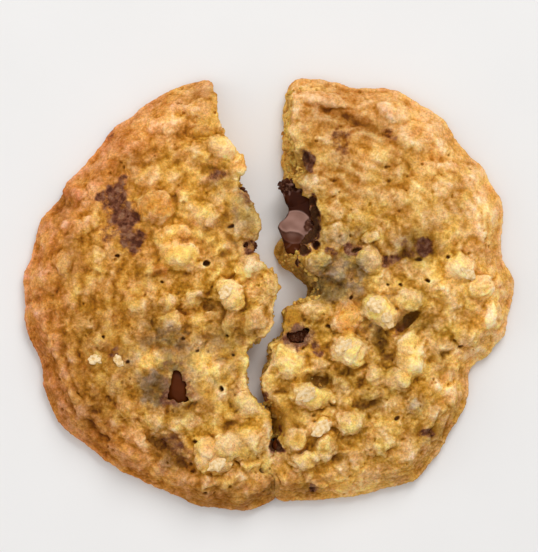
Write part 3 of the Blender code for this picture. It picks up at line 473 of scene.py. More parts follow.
class Skin:
    """The fine skin of one piece, as arrays, while its relief and its marks are worked out."""

    def __init__(self, mesh):
        self.mesh = mesh
        count = len(mesh.vertices)
        self.points = np.empty(3 * count)
        mesh.vertices.foreach_get("co", self.points)
        self.points = self.points.reshape(-1, 3)
        self.edges = np.empty(2 * len(mesh.edges), dtype=np.int32)
        mesh.edges.foreach_get("vertices", self.edges)
        self.edges = self.edges.reshape(-1, 2)
        self.ring = 1 + np.bincount(self.edges.ravel(), minlength=count)

    def normals(self):
        found = np.empty(3 * len(self.points))
        self.mesh.vertex_normals.foreach_get("vector", found)
        return found.reshape(-1, 3)

    def blurred(self, values, times):
        """The values averaged with their neighbours', this many times."""
        start, end = self.edges.T
        count = len(values)
        for _ in range(times):
            near = np.bincount(start, values[end], count) + np.bincount(end, values[start], count)
            values = (values + near) / self.ring
        return values

    def bulge(self, times):
        """How far each point stands out of its blurred surroundings."""
        even = np.stack([self.blurred(axis, times) for axis in self.points.T], axis=1)
        return np.sum((self.points - even) * self.normals(), axis=1)

    def store(self):
        self.mesh.vertices.foreach_set("co", self.points.ravel())
        self.mesh.update()

    def mark(self, name, values):
        """Keeps the values with the mesh, for its material."""
        layer = self.mesh.attributes.new(name, "FLOAT", "POINT")
        layer.data.foreach_set("value", values.astype(np.float32))


def fine_copy(node, name, grid, softening):
    """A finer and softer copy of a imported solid, in millimetres."""
    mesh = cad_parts[node].data.copy()
    mesh.transform(Matrix.Scale(1 / MM, 4))
    shell = bmesh.new()
    shell.from_mesh(mesh)
    bmesh.ops.remove_doubles(shell, verts=shell.verts, dist=MM)
    shell.to_mesh(mesh)
    shell.free()
    mesh.materials.clear()
    piece = bpy.data.objects.new(name, mesh)
    bpy.context.scene.collection.objects.link(piece)
    remesh = piece.modifiers.new("fine_skin", "REMESH")
    remesh.mode = "VOXEL"
    remesh.voxel_size = grid
    remesh.use_smooth_shade = True
    soften = piece.modifiers.new("soften", "SMOOTH")
    soften.iterations = softening
    apply_modifiers(piece)
    return piece


def apply_modifiers(piece):
    bpy.context.view_layer.update()
    mesh = bpy.data.meshes.new_from_object(piece.evaluated_get(bpy.context.evaluated_depsgraph_get()))
    piece.modifiers.clear()
    piece.data = mesh


def small_pores(count, seed):
    """Pores spread by chance over the crust."""
    rng = random.Random(seed)
    found = []
    for _ in range(count):
        size = rng.uniform(0.5, 1.0)
        x, y = rng.uniform(-54, 54), rng.uniform(-48, 48)
        width, turn, depth = size * rng.uniform(0.6, 1.0), rng.uniform(0, 180), rng.uniform(0.15, 0.42)
        found.append((x, y, size, width, turn, depth))
    return found


def melt_lumps(skin, upward):
    """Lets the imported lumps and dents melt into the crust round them, where finer ones take their place."""
    height = skin.points[:, 2]
    even = skin.blurred(height * upward, EVEN_PASSES) / np.maximum(skin.blurred(upward, EVEN_PASSES), 0.05)
    height += np.where(even > height, DENT_MELT, LUMP_MELT) * upward * (even - height)


def crust_roughness(points, inset):
    """How rough the crust is: the left half's outer side and the right half's back are smooth."""
    x, y = points[:, 0], points[:, 1]
    rough = SMOOTH_SHARE + MIDDLE_GAIN * ease(x - 0.25 * y, -38, 4)
    rough *= 1 - RIM_LOSS + RIM_LOSS * ease(inset, 1.0, 9.0)
    return rough * (1 - BACK_LOSS * ease(y + 0.4 * x, 12, 34) * ease(x, 0, 8))


def large_lumps(points, x, y, form):
    """The lift of the large lumps, how high the lump at each place is, and the crease round it."""
    lift, on_lump, crease = np.zeros(len(x)), np.zeros(len(x)), np.zeros(len(x))
    for lump in LUMPS:
        away, height = oval(lump, x, y), lump[5]
        lift = np.maximum(lift, form.lump_lift * height * np.clip(1 - away**2, 0, 1))
        on_lump = np.maximum(on_lump, height * ease(away, 1.1, 0.8))
        crease = np.maximum(crease, form.crease * height * np.exp(-(((away - 1.12) / 0.14) ** 2)))
    crease *= ease(on_lump, 0.9, 0.3) * ease(wavy(points, 3.0, 17), -0.5, 0.2)
    return lift, on_lump, crease


def packed_oats(points, warp, warped, on_lump, form):
    """Packed oats make rounded swells with creases between them, and smaller knobs on those."""
    oats = form.oat_height * (billows(warped, form.oat_size, 1) - 0.5)
    knobs = form.knob_height * (billows(warped, 0.45 * form.oat_size, 2) - 0.5) * (1 + 0.3 * on_lump)
    bits = 0.6 * form.knob_height * (billows(points + 0.4 * warp[:, :1], 0.2 * form.oat_size, 12) - 0.5)
    return oats + knobs + bits


def rim_wrinkles(points, inset, rough):
    """Fine wrinkles that follow the rim where the crust is smooth."""
    round_rim = np.arctan2(points[:, 1], points[:, 0]) * 50
    rings = np.stack([inset / 1.5, round_rim / 6.5, np.zeros(len(points))], axis=1)
    return 0.35 * wavy(rings, 1.0, 5) * ease(rough, 0.75, 0.4) * ease(inset, 0.3, 2.0)


def fold_depth(points, x, y):
    """How deep the folds are at each place."""
    folds = np.zeros(len(x))
    for depth, width, *line in FOLDS:
        folds = np.maximum(folds, depth * np.exp(-((2 * line_distance(line, x, y) / width) ** 2)))
    return folds * (0.5 + 0.5 * ease(wavy(points, 3.5, 14), -0.3, 0.3))


def broken_chocolate(points, x, y):
    """Broken chocolate lies lower than the crust round it, in crumbs."""
    near, second = cells(points, 1.1, 18)
    crumbs = 0.6 + 0.7 * near**2 + 0.3 * np.exp(-(((second - near) / 0.2) ** 2))
    return ease(spots(SMEARS, x, y), 1.1, 1.5) * crumbs


def wall_relief(points, inset):
    """The relief of the rim and the torn faces, which all but touch at the front of the tear."""
    wall = 0.8 * (billows(points, 2.4, 6) - 0.5) + 0.3 * (billows(points, 1.1, 7) - 0.5)
    wall *= 0.3 + 0.7 * ease(inset, 1.0, 5.0)
    x, y = points[:, 0], points[:, 1]
    wall += FRONT_CLOSING * ease(-y, 22, 28) * ease(inset, 0.2, 1.2) * ease(np.abs(x - 1.0), 8, 6)
    return wall - SET_BACK * np.exp(-(((y - SET_BACK_Y) / 5) ** 2)) * ease(np.abs(x - 0.8), 4.2, 3.6)


def dough_relief(skin, form):
    """Gives one half its fine relief, and returns its holes, its hollows and the distances from its rim."""
    points, normals = skin.points, skin.normals()
    inset = rim_radius(np.arctan2(points[:, 1], points[:, 0])) - np.hypot(points[:, 0], points[:, 1])
    upward = ease(normals[:, 2], 0.1, 0.6)
    melt_lumps(skin, upward)

    # Lumps, folds and hollows are bent a little, and the edges of holes are ragged
    warp = np.stack([wavy(points, 3.4, seed) + 0.4 * wavy(points, 1.2, seed + 30) for seed in (1, 2)], axis=1)
    x, y = points[:, 0] + 1.2 * warp[:, 0], points[:, 1] + 1.2 * warp[:, 1]
    warped = np.stack([x, y, points[:, 2]], axis=1)
    ragged = np.stack([wavy(points, 0.9, seed) for seed in (15, 16)], axis=1)
    ragged_x, ragged_y = points[:, 0] + 0.2 * ragged[:, 0], points[:, 1] + 0.2 * ragged[:, 1]

    rough = crust_roughness(points, inset)
    lift, on_lump, crease = large_lumps(points, x, y, form)
    hollow = strongest(HOLLOWS, x, y, 1.4, 0.1)
    holes = strongest((*PITS, *small_pores(form.pores, form.seed)), ragged_x, ragged_y, 1.3, 0.5)
    crust = lift - crease + rough * packed_oats(points, warp, warped, on_lump, form)
    crust += rim_wrinkles(points, inset, rough) - fold_depth(points, x, y)
    crust -= hollow + holes + broken_chocolate(points, ragged_x, ragged_y)
    grain = form.grain_height * (wavy(points, 0.5, 3) + 0.8 * wavy(points, 0.85, 4))
    relief = upward * crust + (1 - upward) * wall_relief(points, inset) + grain
    relief *= ease(points[:, 2], 0.3, 1.8) * ease(normals[:, 2], -0.9, -0.3)
    skin.points = points + normals * relief[:, None]
    skin.points[:, 2] = np.maximum(skin.points[:, 2], 0.0)
    skin.store()
    return holes * upward, hollow * upward, inset


def dough_marks(skin, holes, hollow, inset):
    """Stores what the material needs to know of each place, such as its bulges for painted shade and light,
    its tint, and its toasting with painted shade.
    """
    x, y, z = skin.points.T
    warp = np.stack([wavy(skin.points, grain, seed) for grain, seed in ((2.2, 8), (2.2, 9))], axis=1)
    bent_x, bent_y = x + 0.9 * warp[:, 0], y + 0.9 * warp[:, 1]
    tint = np.zeros(len(x))
    for lump in LUMPS:
        tint += lump[6] * ease(oval(lump, bent_x, bent_y), 1.12, 0.62)
    dome = RIM_HEIGHT + (MIDDLE_HEIGHT - RIM_HEIGHT) * (1 - np.exp(-np.maximum(inset, 0) / RIM_SLOPE))
    torn = ease(dome - z, 0.7, 2.0) * ease(np.abs(x), 15, 11) * ease(inset, 0.5, 4.0) * ease(y, -46, -38)

    # Edges beside a tear or a hole don't count as the tops of lumps
    inland = ease(skin.blurred(ease(skin.normals()[:, 2], 0.1, 0.6), EVEN_PASSES), 0.5, 0.85)
    # The bulges below paint shade into the creases and round the lumps, and light onto the tops of the lumps
    lump_shading = skin.bulge(LUMP_PASSES)
    skin.mark("relief_shading", skin.bulge(CREASE_PASSES) * (0.35 + 0.65 * inland))
    skin.mark("lump_shading", np.where(lump_shading > 0, lump_shading * inland, lump_shading))
    skin.mark("tint", np.clip(tint, -1, 1))
    skin.mark("smear", spots(SMEARS, bent_x, bent_y))
    skin.mark("greyed", spots(GREYS, bent_x, bent_y, 0.55))
    skin.mark("olive", spots(OLIVES, bent_x, bent_y, 0.4))
    # The hollows are painted darker here, as shade
    skin.mark("tone_and_shading", np.clip(tones_and_shading(bent_x, bent_y) - 0.5 * hollow, -1, 1))
    skin.mark("peach", spots(PEACHES, x, y, 0.8))
    skin.mark("ash", spots(ASHES, bent_x, bent_y, 0.6))
    skin.mark("front", ease(-y, 24, 44))
    # The rim is browned, and painted darker toward the lower left as shade away from the light
    skin.mark("toast_and_shade", ease(inset, 15.0, 0.0) * (0.42 + 0.58 * ease(-x - 0.4 * y, -5, 30)))
    skin.mark("left", ease(x - 0.2 * y, 5, -40))
    skin.mark("torn", torn)
    skin.mark("pore_shade", np.clip(holes, 0, 1))


def cut_base(mesh):
    """Takes away the thousands of faces under the dough and leaves a flat edge."""
    shell = bmesh.new()
    shell.from_mesh(mesh)
    flat = [face for face in shell.faces if face.normal.z < -0.9 and face.calc_center_median().z < 0.4]
    bmesh.ops.delete(shell, geom=flat, context="FACES")
    for vertex in shell.verts:
        if vertex.is_boundary:
            vertex.co.z = 0.0
    shell.to_mesh(mesh)
    shell.free()


def close_base(mesh):
    """Puts one flat face under the dough."""
    shell = bmesh.new()
    shell.from_mesh(mesh)
    rim = [edge for edge in shell.edges if edge.is_boundary]
    for face in bmesh.ops.holes_fill(shell, edges=rim, sides=0)["faces"]:
        face.smooth = False
    bmesh.ops.recalc_face_normals(shell, faces=shell.faces)
    shell.to_mesh(mesh)
    shell.free()


def add_bake_map(mesh):
    """A UV map with the crust from above, the walls from four sides, and the base from below."""
    layer = mesh.uv_layers.new(name="OFBake").data
    low = Vector([min(vertex.co[axis] for vertex in mesh.vertices) for axis in range(3)])
    for face in mesh.polygons:
        normal = face.normal
        if normal.z > 0.35:
            across, up, corner, scale = 0, 1, (0.005, 0.005), BAKE_SCALE
        elif normal.z < -0.5:
            across, up, corner, scale = 0, 1, (0.74, 0.005), BAKE_BASE_SCALE
        elif abs(normal.x) > abs(normal.y):
            across, up, corner, scale = 2, 1, (0.505 if normal.x < 0 else 0.62, 0.005), BAKE_SCALE
        else:
            across, up, corner, scale = 0, 2, (0.005 if normal.y < 0 else 0.505, 0.86), BAKE_SCALE
        for loop in face.loop_indices:
            place = mesh.vertices[mesh.loops[loop].vertex_index].co - low
            layer[loop].uv = (corner[0] + scale * place[across], corner[1] + scale * place[up])


def settle(piece, material, replaced=()):
    """Brings a finished piece to metres and gives it its material and its place in the frame."""
    piece.data.transform(Matrix.Scale(MM, 4))
    piece.data.materials.clear()
    piece.data.materials.append(material)
    piece.data.update()
    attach(piece, "root")
    if replaced:
        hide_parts(*replaced)


class Shades:
    """Adds a material's nodes one after another."""

    def __init__(self, name):
        self.material = bpy.data.materials.new(name)
        self.material.use_nodes = True
        self.tree = self.material.node_tree
        self.shader = self.tree.nodes["Principled BSDF"]
        self.place = self.tree.nodes.new("ShaderNodeTexCoord").outputs["Object"]

    def put(self, socket, value):
        if isinstance(value, bpy.types.NodeSocket):
            self.tree.links.new(value, socket)
        elif hasattr(value, "__len__"):
            socket.default_value = (*value[:3], 1.0)
        else:
            socket.default_value = value

    def mark(self, name):
        """What the mesh stores under this name."""
        node = self.tree.nodes.new("ShaderNodeAttribute")
        node.attribute_name = name
        return node.outputs["Fac"]

    def clouds(self, grain, detail=2.0, roughness=0.5):
        """Noise with grains this many millimetres wide."""
        node = self.tree.nodes.new("ShaderNodeTexNoise")
        self.put(node.inputs["Vector"], self.place)
        self.put(node.inputs["Scale"], 1 / (grain * MM))
        self.put(node.inputs["Detail"], detail)
        self.put(node.inputs["Roughness"], roughness)
        return node.outputs["Fac"]

    def pebbles(self, grain):
        """Distance from points this many millimetres apart."""
        node = self.tree.nodes.new("ShaderNodeTexVoronoi")
        self.put(node.inputs["Vector"], self.place)
        self.put(node.inputs["Scale"], 1 / (grain * MM))
        return node.outputs["Distance"]

    def maths(self, kind, first, second):
        node = self.tree.nodes.new("ShaderNodeMath")
        node.operation = kind
        self.put(node.inputs[0], first)
        self.put(node.inputs[1], second)
        return node.outputs[0]

    def product(self, first, second):
        return self.maths("MULTIPLY", first, second)

    def total(self, *values):
        """The sum of the values."""
        found = values[0]
        for value in values[1:]:
            found = self.maths("ADD", found, value)
        return found

    def step(self, value, low, high, start=0.0, end=1.0):
        """A smooth step of the value."""
        node = self.tree.nodes.new("ShaderNodeMapRange")
        node.interpolation_type = "SMOOTHSTEP"
        self.put(node.inputs["Value"], value)
        limits = {"From Min": low, "From Max": high, "To Min": start, "To Max": end}
        for name, limit in limits.items():
            self.put(node.inputs[name], limit)
        return node.outputs["Result"]

    def mixed(self, share, first, second, kind="MIX"):
        """Two colours mixed."""
        node = self.tree.nodes.new("ShaderNodeMix")
        node.data_type = "RGBA"
        node.blend_type = kind
        self.put(node.inputs[0], share)
        self.put(node.inputs[6], first)
        self.put(node.inputs[7], second)
        return node.outputs[2]

    def tinted(self, share, colour, tint):
        """The colour multiplied by this share of the tint."""
        return self.mixed(share, colour, tint, "MULTIPLY")

    def lightened(self, colour, times):
        """The colour made this many times as bright."""
        node = self.tree.nodes.new("ShaderNodeHueSaturation")
        self.put(node.inputs["Color"], colour)
        self.put(node.inputs["Value"], times)
        return node.outputs["Color"]

    def ramp(self, value, stops):
        """The colour of each value between these stops."""
        node = self.tree.nodes.new("ShaderNodeValToRGB")
        self.put(node.inputs["Fac"], value)
        elements = node.color_ramp.elements
        while len(elements) < len(stops):
            elements.new(0.5)
        for element, (position, colour) in zip(elements, stops):
            element.position = position
            element.color = (*colour, 1.0)
        return node.outputs["Color"]

    def bump(self, height, distance, strength):
        """Roughens the surface by this height, at most this many millimetres."""
        node = self.tree.nodes.new("ShaderNodeBump")
        self.put(node.inputs["Height"], height)
        self.put(node.inputs["Distance"], distance * MM)
        self.put(node.inputs["Strength"], strength)
        self.put(self.shader.inputs["Normal"], node.outputs["Normal"])

    def finish(self, colour, roughness, specular):
        self.put(self.shader.inputs["Base Color"], colour)
        self.put(self.shader.inputs["Roughness"], roughness)
        self.put(self.shader.inputs["Specular IOR Level"], specular)
        return self.material

    def soften(self, share, reach):
        """Lets some light pass through the surface, this many millimetres deep."""
        self.put(self.shader.inputs["Subsurface Weight"], share)
        self.shader.inputs["Subsurface Radius"].default_value = (1.0, 0.5, 0.2)
        self.put(self.shader.inputs["Subsurface Scale"], reach * MM)


def crust_shading_level(shades, relief_shading, patches, mottle):
    """From 0 in the deepest creases to 1 on the palest oats, mostly painted shade in the creases and painted
    light on the lump tops, with random patches.
    """
    uneven = shades.step(shades.mark("left"), 0.0, 0.6, 0.62, 1.1)
    return shades.total(
        0.55,
        shades.product(relief_shading, 0.8),
        shades.product(shades.mark("lump_shading"), 0.3),
        shades.product(shades.mark("tone_and_shading"), 0.2),
        shades.product(shades.step(patches, 0.3, 0.7, -0.16, 0.16), uneven),
        shades.product(shades.step(mottle, 0.3, 0.7, -0.10, 0.10), uneven),
    )


def baked_crust(shades, colours, height, patches, mottle):
    """The crust by its painted shading level, darkest in the creases, with pale and orange lumps, dull
    patches and a browned rim with painted shade toward the lower left.
    """
    # The lowest stops are painted shade in the creases, the highest partly painted light on the lump tops
    crust = shades.ramp(
        height,
        (
            (0.05, colours.crevice_shade),
            (0.32, colours.low),
            (0.56, colours.crust),
            (0.82, colours.pale),
            (1.0, colours.cream),
        ),
    )
    tint = shades.mark("tint")
    pale = shades.product(shades.step(tint, 0.1, 1.0, 0.0, 0.8), shades.step(mottle, 0.3, 0.6, 0.65, 1.0))
    crust = shades.mixed(pale, crust, colours.pale)
    orange = shades.step(tint, -0.1, -1.0, 0.0, 0.9)
    orange = shades.product(orange, shades.step(patches, 0.35, 0.65, 0.4, 0.9))
    crust = shades.mixed(orange, crust, colours.orange)
    dull = shades.product(shades.mark("ash"), shades.step(shades.clouds(3.0, 4.0, 0.6), 0.42, 0.6, 0.1, 0.75))
    crust = shades.mixed(dull, crust, colours.ash)
    toasted = shades.mixed(shades.mark("front"), colours.toasted, colours.browned)
    # The browned rim's tint also carries painted shade toward the lower left
    crust = shades.tinted(shades.mark("toast_and_shade"), crust, toasted)
    return shades.tinted(shades.mark("left"), crust, colours.amber)


def uneven_tints(shades, colours, crust, height, peach):
    """A deeper colour at the smooth back with painted shade in its creases, and yellower and redder patches
    everywhere.
    """
    crust = shades.tinted(peach, crust, colours.peach)
    # The creases of the smooth back are painted darker, as shade
    crease_shade_share = shades.product(peach, shades.step(height, 0.7, 0.3))
    crust = shades.tinted(crease_shade_share, crust, colours.russet_crease_shade)
    yellower = shades.step(shades.clouds(3.4, 2.0, 0.5), 0.38, 0.62)
    yellower = shades.product(yellower, shades.step(peach, 0.0, 1.0, 1.0, 0.4))
    crust = shades.tinted(yellower, crust, colours.yellowed)
    redder = shades.step(shades.clouds(4.4, 2.0, 0.5), 0.38, 0.62)
    return shades.tinted(redder, crust, colours.ruddy)


def torn_crumb(shades, colours, crust, height, relief_shading, mottle):
    """The inside of the dough on the torn faces, and the bare dough beside them, darker in random patches and
    with painted shade in their dents.
    """
    inside = shades.step(shades.total(mottle, shades.product(relief_shading, 0.7)), 0.3, 0.6)
    inside = shades.mixed(inside, colours.moist_and_shade, colours.crumb)
    crust = shades.mixed(shades.product(shades.mark("torn"), 0.8), crust, inside)
    bare = shades.mixed(shades.step(height, 0.2, 0.6), colours.moist_and_shade, colours.olive)
    return shades.mixed(shades.mark("olive"), crust, bare)


def chocolate_stains(shades, colours, crust, relief_shading):
    """Dough that chocolate has greyed, and chocolate that shows through it."""
    veins = shades.total(shades.clouds(2.4, 4.0, 0.6), shades.product(relief_shading, 0.15))
    greyed = shades.product(shades.mark("greyed"), shades.step(veins, 0.38, 0.62, 0.45, 1.4))
    crust = shades.tinted(greyed, crust, colours.grey)
    smear = shades.mark("smear")
    stain = shades.total(smear, shades.step(shades.clouds(2.2, 4.0, 0.65), 0.3, 0.7, -0.36, 0.36))
    # Below, the chocolate seen through the crust is painted darker in the creases and paler on the bumps, as
    # shade and light
    depth = shades.total(shades.clouds(1.7, 3.0, 0.6), shades.product(relief_shading, 0.5))
    shown = shades.ramp(depth, ((0.38, colours.smear), (0.5, colours.plum), (0.64, colours.haze)))
    shown = shades.mixed(shades.step(smear, 1.0, 1.3), shown, colours.chocolate)
    crust = shades.tinted(shades.step(stain, 0.05, 0.6, 0.0, 0.6), crust, colours.reddened)
    return shades.mixed(shades.step(stain, 0.28, 0.92, 0.0, 0.95), crust, shown)


def crust_light(shades, tone_and_shading, peach):
    """How bright each place is: fine speckles, dark specks, and the paler and darker patches, with their
    painted shade and painted light.
    """
    speckle = shades.step(shades.clouds(0.42, 2.0, 0.6), 0.25, 0.75, -0.2, 0.2)
    speckle = shades.product(speckle, shades.step(peach, 0.0, 1.0, 1.0, 0.9))
    specks = shades.step(shades.clouds(0.33, 2.0, 0.5), 0.62, 0.78, 1.0, 0.62)
    light = shades.product(shades.total(1.0, speckle), specks)
    return shades.product(light, shades.step(tone_and_shading, -1.0, 1.0, 0.66, 1.36))


def dough_material(colours):
    """Baked dough: painted shade in its folds, hollows and pores, pale on its oats with painted light on
    their tops, browned at the rim, stained by chocolate.
    """
    shades = Shades("baked_dough")
    relief_shading, peach = shades.mark("relief_shading"), shades.mark("peach")
    patches, mottle = shades.clouds(5.0, 3.0), shades.clouds(1.6, 3.0, 0.6)
    height = crust_shading_level(shades, relief_shading, patches, mottle)
    crust = baked_crust(shades, colours, height, patches, mottle)
    crust = uneven_tints(shades, colours, crust, height, peach)
    crust = torn_crumb(shades, colours, crust, height, relief_shading, mottle)
    crust = chocolate_stains(shades, colours, crust, relief_shading)
    # The pores are painted dark inside, as shade
    crust = shades.mixed(shades.step(shades.mark("pore_shade"), 0.05, 0.9, 0.0, 0.9), crust, colours.pore_shade)
    crust = shades.lightened(crust, crust_light(shades, shades.mark("tone_and_shading"), peach))
    grain = shades.total(shades.clouds(0.5, 3.0, 0.65), shades.product(shades.pebbles(0.8), 0.5))
    shades.bump(grain, 0.26, 0.7)
    shades.soften(0.5, 1.2)
    return shades.finish(crust, shades.step(mottle, 0.3, 0.7, 0.55, 0.8), DOUGH_SHINE)


def chocolate_material(colours):
    """Dark chocolate that melted and set: satin where smooth, dull and crumbly where it broke, its face pale
    with bloom and a painted reflection, with painted shade and highlights round its curl.
    """
    shades = Shades("dark_chocolate")
    haze = shades.clouds(2.4, 2.0)
    broken, bloom_and_reflection, swirl_shading = shades.mark("broken"), shades.mark("bloom_and_reflection"), shades.mark("swirl_shading")
    lit = shades.total(shades.mark("lit"), shades.step(haze, 0.35, 0.7, -0.15, 0.3))
    colour = shades.mixed(shades.step(lit, 0.0, 1.0), colours.chocolate, colours.brown)
    face = shades.mixed(swirl_shading, colours.brown, colours.bloom_and_reflection)
    colour = shades.mixed(bloom_and_reflection, colour, face)
    # Pale specks on the broken chocolate: partly crumbs, partly painted glints
    crumbs = shades.step(shades.clouds(0.55, 3.0, 0.7), 0.46, 0.7, 0.0, 0.65)
    colour = shades.mixed(shades.product(broken, crumbs), colour, colours.haze)
    shades.bump(shades.clouds(0.45, 3.0, 0.6), 0.16, shades.step(broken, 0.0, 1.0, 0.12, 0.9))
    roughness = shades.total(shades.step(broken, 0.0, 1.0, 0.26, 0.7), shades.product(bloom_and_reflection, 0.08))
    return shades.finish(colour, roughness, CHOCOLATE_SHINE)


def oat_material(colours):
    """Bare oats: cream, with darker streaks."""
    shades = Shades("bare_oats")
    streaks = shades.clouds(0.8, 3.0, 0.6)
    colour = shades.ramp(streaks, ((0.3, colours.crust), (0.45, colours.pale), (0.62, colours.cream)))
    shades.bump(shades.clouds(0.35, 3.0, 0.6), 0.15, 0.6)
    return shades.finish(colour, shades.step(streaks, 0.3, 0.7, 0.55, 0.75), OAT_SHINE)


class COOKIE_OT_add_dough(bpy.types.Operator):
    """Adds the fine crust and torn crumb of both halves"""

    bl_idname = "cookie.add_dough"
    bl_label = "Add Dough"

    def execute(self, context):
        form = context.scene.cookie_form
        material = dough_material(context.scene.cookie_colours)
        for node, name in (("half_left", "dough_left"), ("half_right", "dough_right")):
            piece = fine_copy(node, name, form.grid, DOUGH_SOFTENING)
            cut_base(piece.data)
            skin = Skin(piece.data)
            holes, hollow, inset = dough_relief(skin, form)
            dough_marks(skin, holes, hollow, inset)
            close_base(piece.data)
            add_bake_map(piece.data)
            settle(piece, material, (node,))
        return {"FINISHED"}


class COOKIE_OT_add_chocolate(bpy.types.Operator):
    """Adds the chocolate that shows at the tear and through the crust"""

    bl_idname = "cookie.add_chocolate"
    bl_label = "Add Chocolate"

    def execute(self, context):
        material = chocolate_material(context.scene.cookie_colours)
        self.add_melted_chip(material)
        for node in ("chip_window", "chip_crack", "chip_right_tear", "chip_left_tear", "chip_left_back"):
            piece = fine_copy(node, node + "_fine", CHIP_GRID, CHIP_SOFTENING)
            skin = Skin(piece.data)
            broken = np.full(len(skin.points), 0.0 if node in ("chip_window", "chip_crack") else 1.0)
            skin.points = skin.points + skin.normals() * self.crumble(skin.points, broken)[:, None]
            skin.store()
            none = np.zeros(len(broken))
            self.mark(skin, broken, none, none, 1 - 0.5 * broken)
            settle(piece, material, (node,))
        return {"FINISHED"}

    def crumble(self, points, broken):
        """Crumbs with gaps between them, where the chocolate is broken."""
        near, second = cells(points, 1.0, 3)
        gaps = 0.3 * np.exp(-(((second - near) / 0.2) ** 2))
        return broken * (0.5 * (0.35 - near**2) - gaps + 0.15 * wavy(points, 0.6, 4))

    def mark(self, skin, broken, bloom_and_reflection, swirl_shading, lit):
        """Stores where the chocolate is broken, where it is pale with bloom and a painted reflection, the
        painted shade and highlights of its curl, and where it is lit from behind.
        """
        skin.mark("broken", broken)
        skin.mark("bloom_and_reflection", bloom_and_reflection)
        skin.mark("swirl_shading", swirl_shading)
        skin.mark("lit", lit)

    def widen(self, skin):
        """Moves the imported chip's sides to where the photographed chip has them."""
        x, y = skin.points[:, 0].copy(), skin.points[:, 1].copy()
        for middle_x, middle_y, reach, growth in SWELLINGS:
            near = growth * np.exp(-(((x - middle_x) ** 2 + (y - middle_y) ** 2) / reach**2))
            skin.points[:, :2] += skin.normals()[:, :2] * near[:, None]
        skin.store()

    def face_of_chip(self, x, y, away, upward):
        """The pale face, with bloom and a painted reflection: the round foot, less the bite that the neck
        takes from it, and the tail below.
        """
        bite = np.hypot(x - BITE_MIDDLE[0], y - BITE_MIDDLE[1])
        on_foot = ease(away, 1.0, 0.9) * ease(bite, BITE_RADIUS, BITE_RADIUS + 0.3)
        return np.maximum(on_foot, ease(oval(TAIL, x, y), 1.1, 0.7)) * upward

    def add_melted_chip(self, material):
        piece = fine_copy("melted_chip", "melted_chip_fine", MELTED_GRID, MELTED_SOFTENING)
        skin = Skin(piece.data)
        self.widen(skin)
        x, y = skin.points[:, 0], skin.points[:, 1]
        from_middle_x, from_middle_y = x - FOOT_MIDDLE[0], y - FOOT_MIDDLE[1]
        away = np.hypot(from_middle_x, from_middle_y) / FOOT_RADIUS
        upward = ease(skin.normals()[:, 2], 0.1, 0.6)
        on_face = self.face_of_chip(x, y, away, upward)

        # The curl stands up, the face below it is sunken, and its upper edge has a lip
        ridge = np.exp(-((line_distance(SWIRL, x, y) / SWIRL_WIDTH) ** 2)) * ease(x, 8.4, 7.6)
        below = ease(np.interp(x, *zip(*SWIRL)) - y, -0.1, 0.35) * ease(x, 8.0, 7.0)
        lip = np.exp(-(((away - 0.92) / 0.05) ** 2)) * upward
        lip *= ease(from_middle_y + 0.4 * from_middle_x, -1, 1)
        glints = spots(GLINTS, x, y, 0.5)
        broken = ease(y + 0.8 * wavy(skin.points, 1.5, 2), BROKEN_FROM, BROKEN_FROM + 1.2)
        broken = np.maximum(broken, ease(x + 0.6 * wavy(skin.points, 1.0, 6), 9.0, 9.8))
        scuff = ease(oval(SCUFF, x + 0.5 * wavy(skin.points, 0.8, 7), y), 1.2, 0.8)
        lift = (0.32 * ridge - 0.35 * below) * on_face + 0.18 * lip + 0.06 * wavy(skin.points, 2.0, 5)
        lift += 1.5 * self.crumble(skin.points, broken) + 0.12 * glints - 0.3 * scuff
        skin.points = skin.points + skin.normals() * lift[:, None]
        skin.store()
        # The face is painted darker under the curl and lighter on the curl and along the lip, as shade and
        # highlights
        swirl_shading = 0.74 - 0.5 * below + 0.16 * ridge + 0.35 * lip + 0.3 * wavy(skin.points, 1.8, 8)
        shown = on_face * (1 - broken * ease(oval(TAIL, x, y), 0.7, 1.1)) * (1 - 0.9 * scuff)
        crumbly = np.maximum(broken * (1 - shown), 0.8 * scuff)
        lit = 0.15 + 0.5 * ease(y, 12, 11)
        self.mark(skin, crumbly, np.maximum(shown, glints), np.clip(swirl_shading, 0, 1), lit)
        settle(piece, material, ("melted_chip",))


def tree_of(pieces):
    """What rays from above hit, in metres."""
    depsgraph = bpy.context.evaluated_depsgraph_get()
    return [BVHTree.FromObject(piece, depsgraph) for piece in pieces]


def ground_at(trees, x, y):
    """The highest place on the dough here, and its normal."""
    hits = [tree.ray_cast(Vector((x * MM, y * MM, 1.0)), Vector((0, 0, -1)))[:2] for tree in trees]
    hits = [hit for hit in hits if hit[0] is not None]
    return max(hits, key=lambda hit: hit[0].z) if hits else None


def joined(name, shapes):
    """One piece made of many small shapes, each a bmesh."""
    mesh = bpy.data.meshes.new(name)
    whole = bmesh.new()
    for shape in shapes:
        shape.to_mesh(mesh)
        shape.free()
        whole.from_mesh(mesh)
    for face in whole.faces:
        face.smooth = True
    whole.to_mesh(mesh)
    whole.free()
    piece = bpy.data.objects.new(name, mesh)
    bpy.context.scene.collection.objects.link(piece)
    return piece


def lumpy_ball(sizes, uneven, seed, subdivisions=3):
    """A ball with these half sizes and an uneven skin, in millimetres."""
    shape = bmesh.new()
    bmesh.ops.create_icosphere(shape, subdivisions=subdivisions, radius=1.0)
    for vertex in shape.verts:
        vertex.co *= 1 + uneven * noise.noise(vertex.co * 1.7 + Vector((seed, 0, 0)))
    shape.transform(Matrix.Diagonal((*sizes, 1.0)))
    return shape


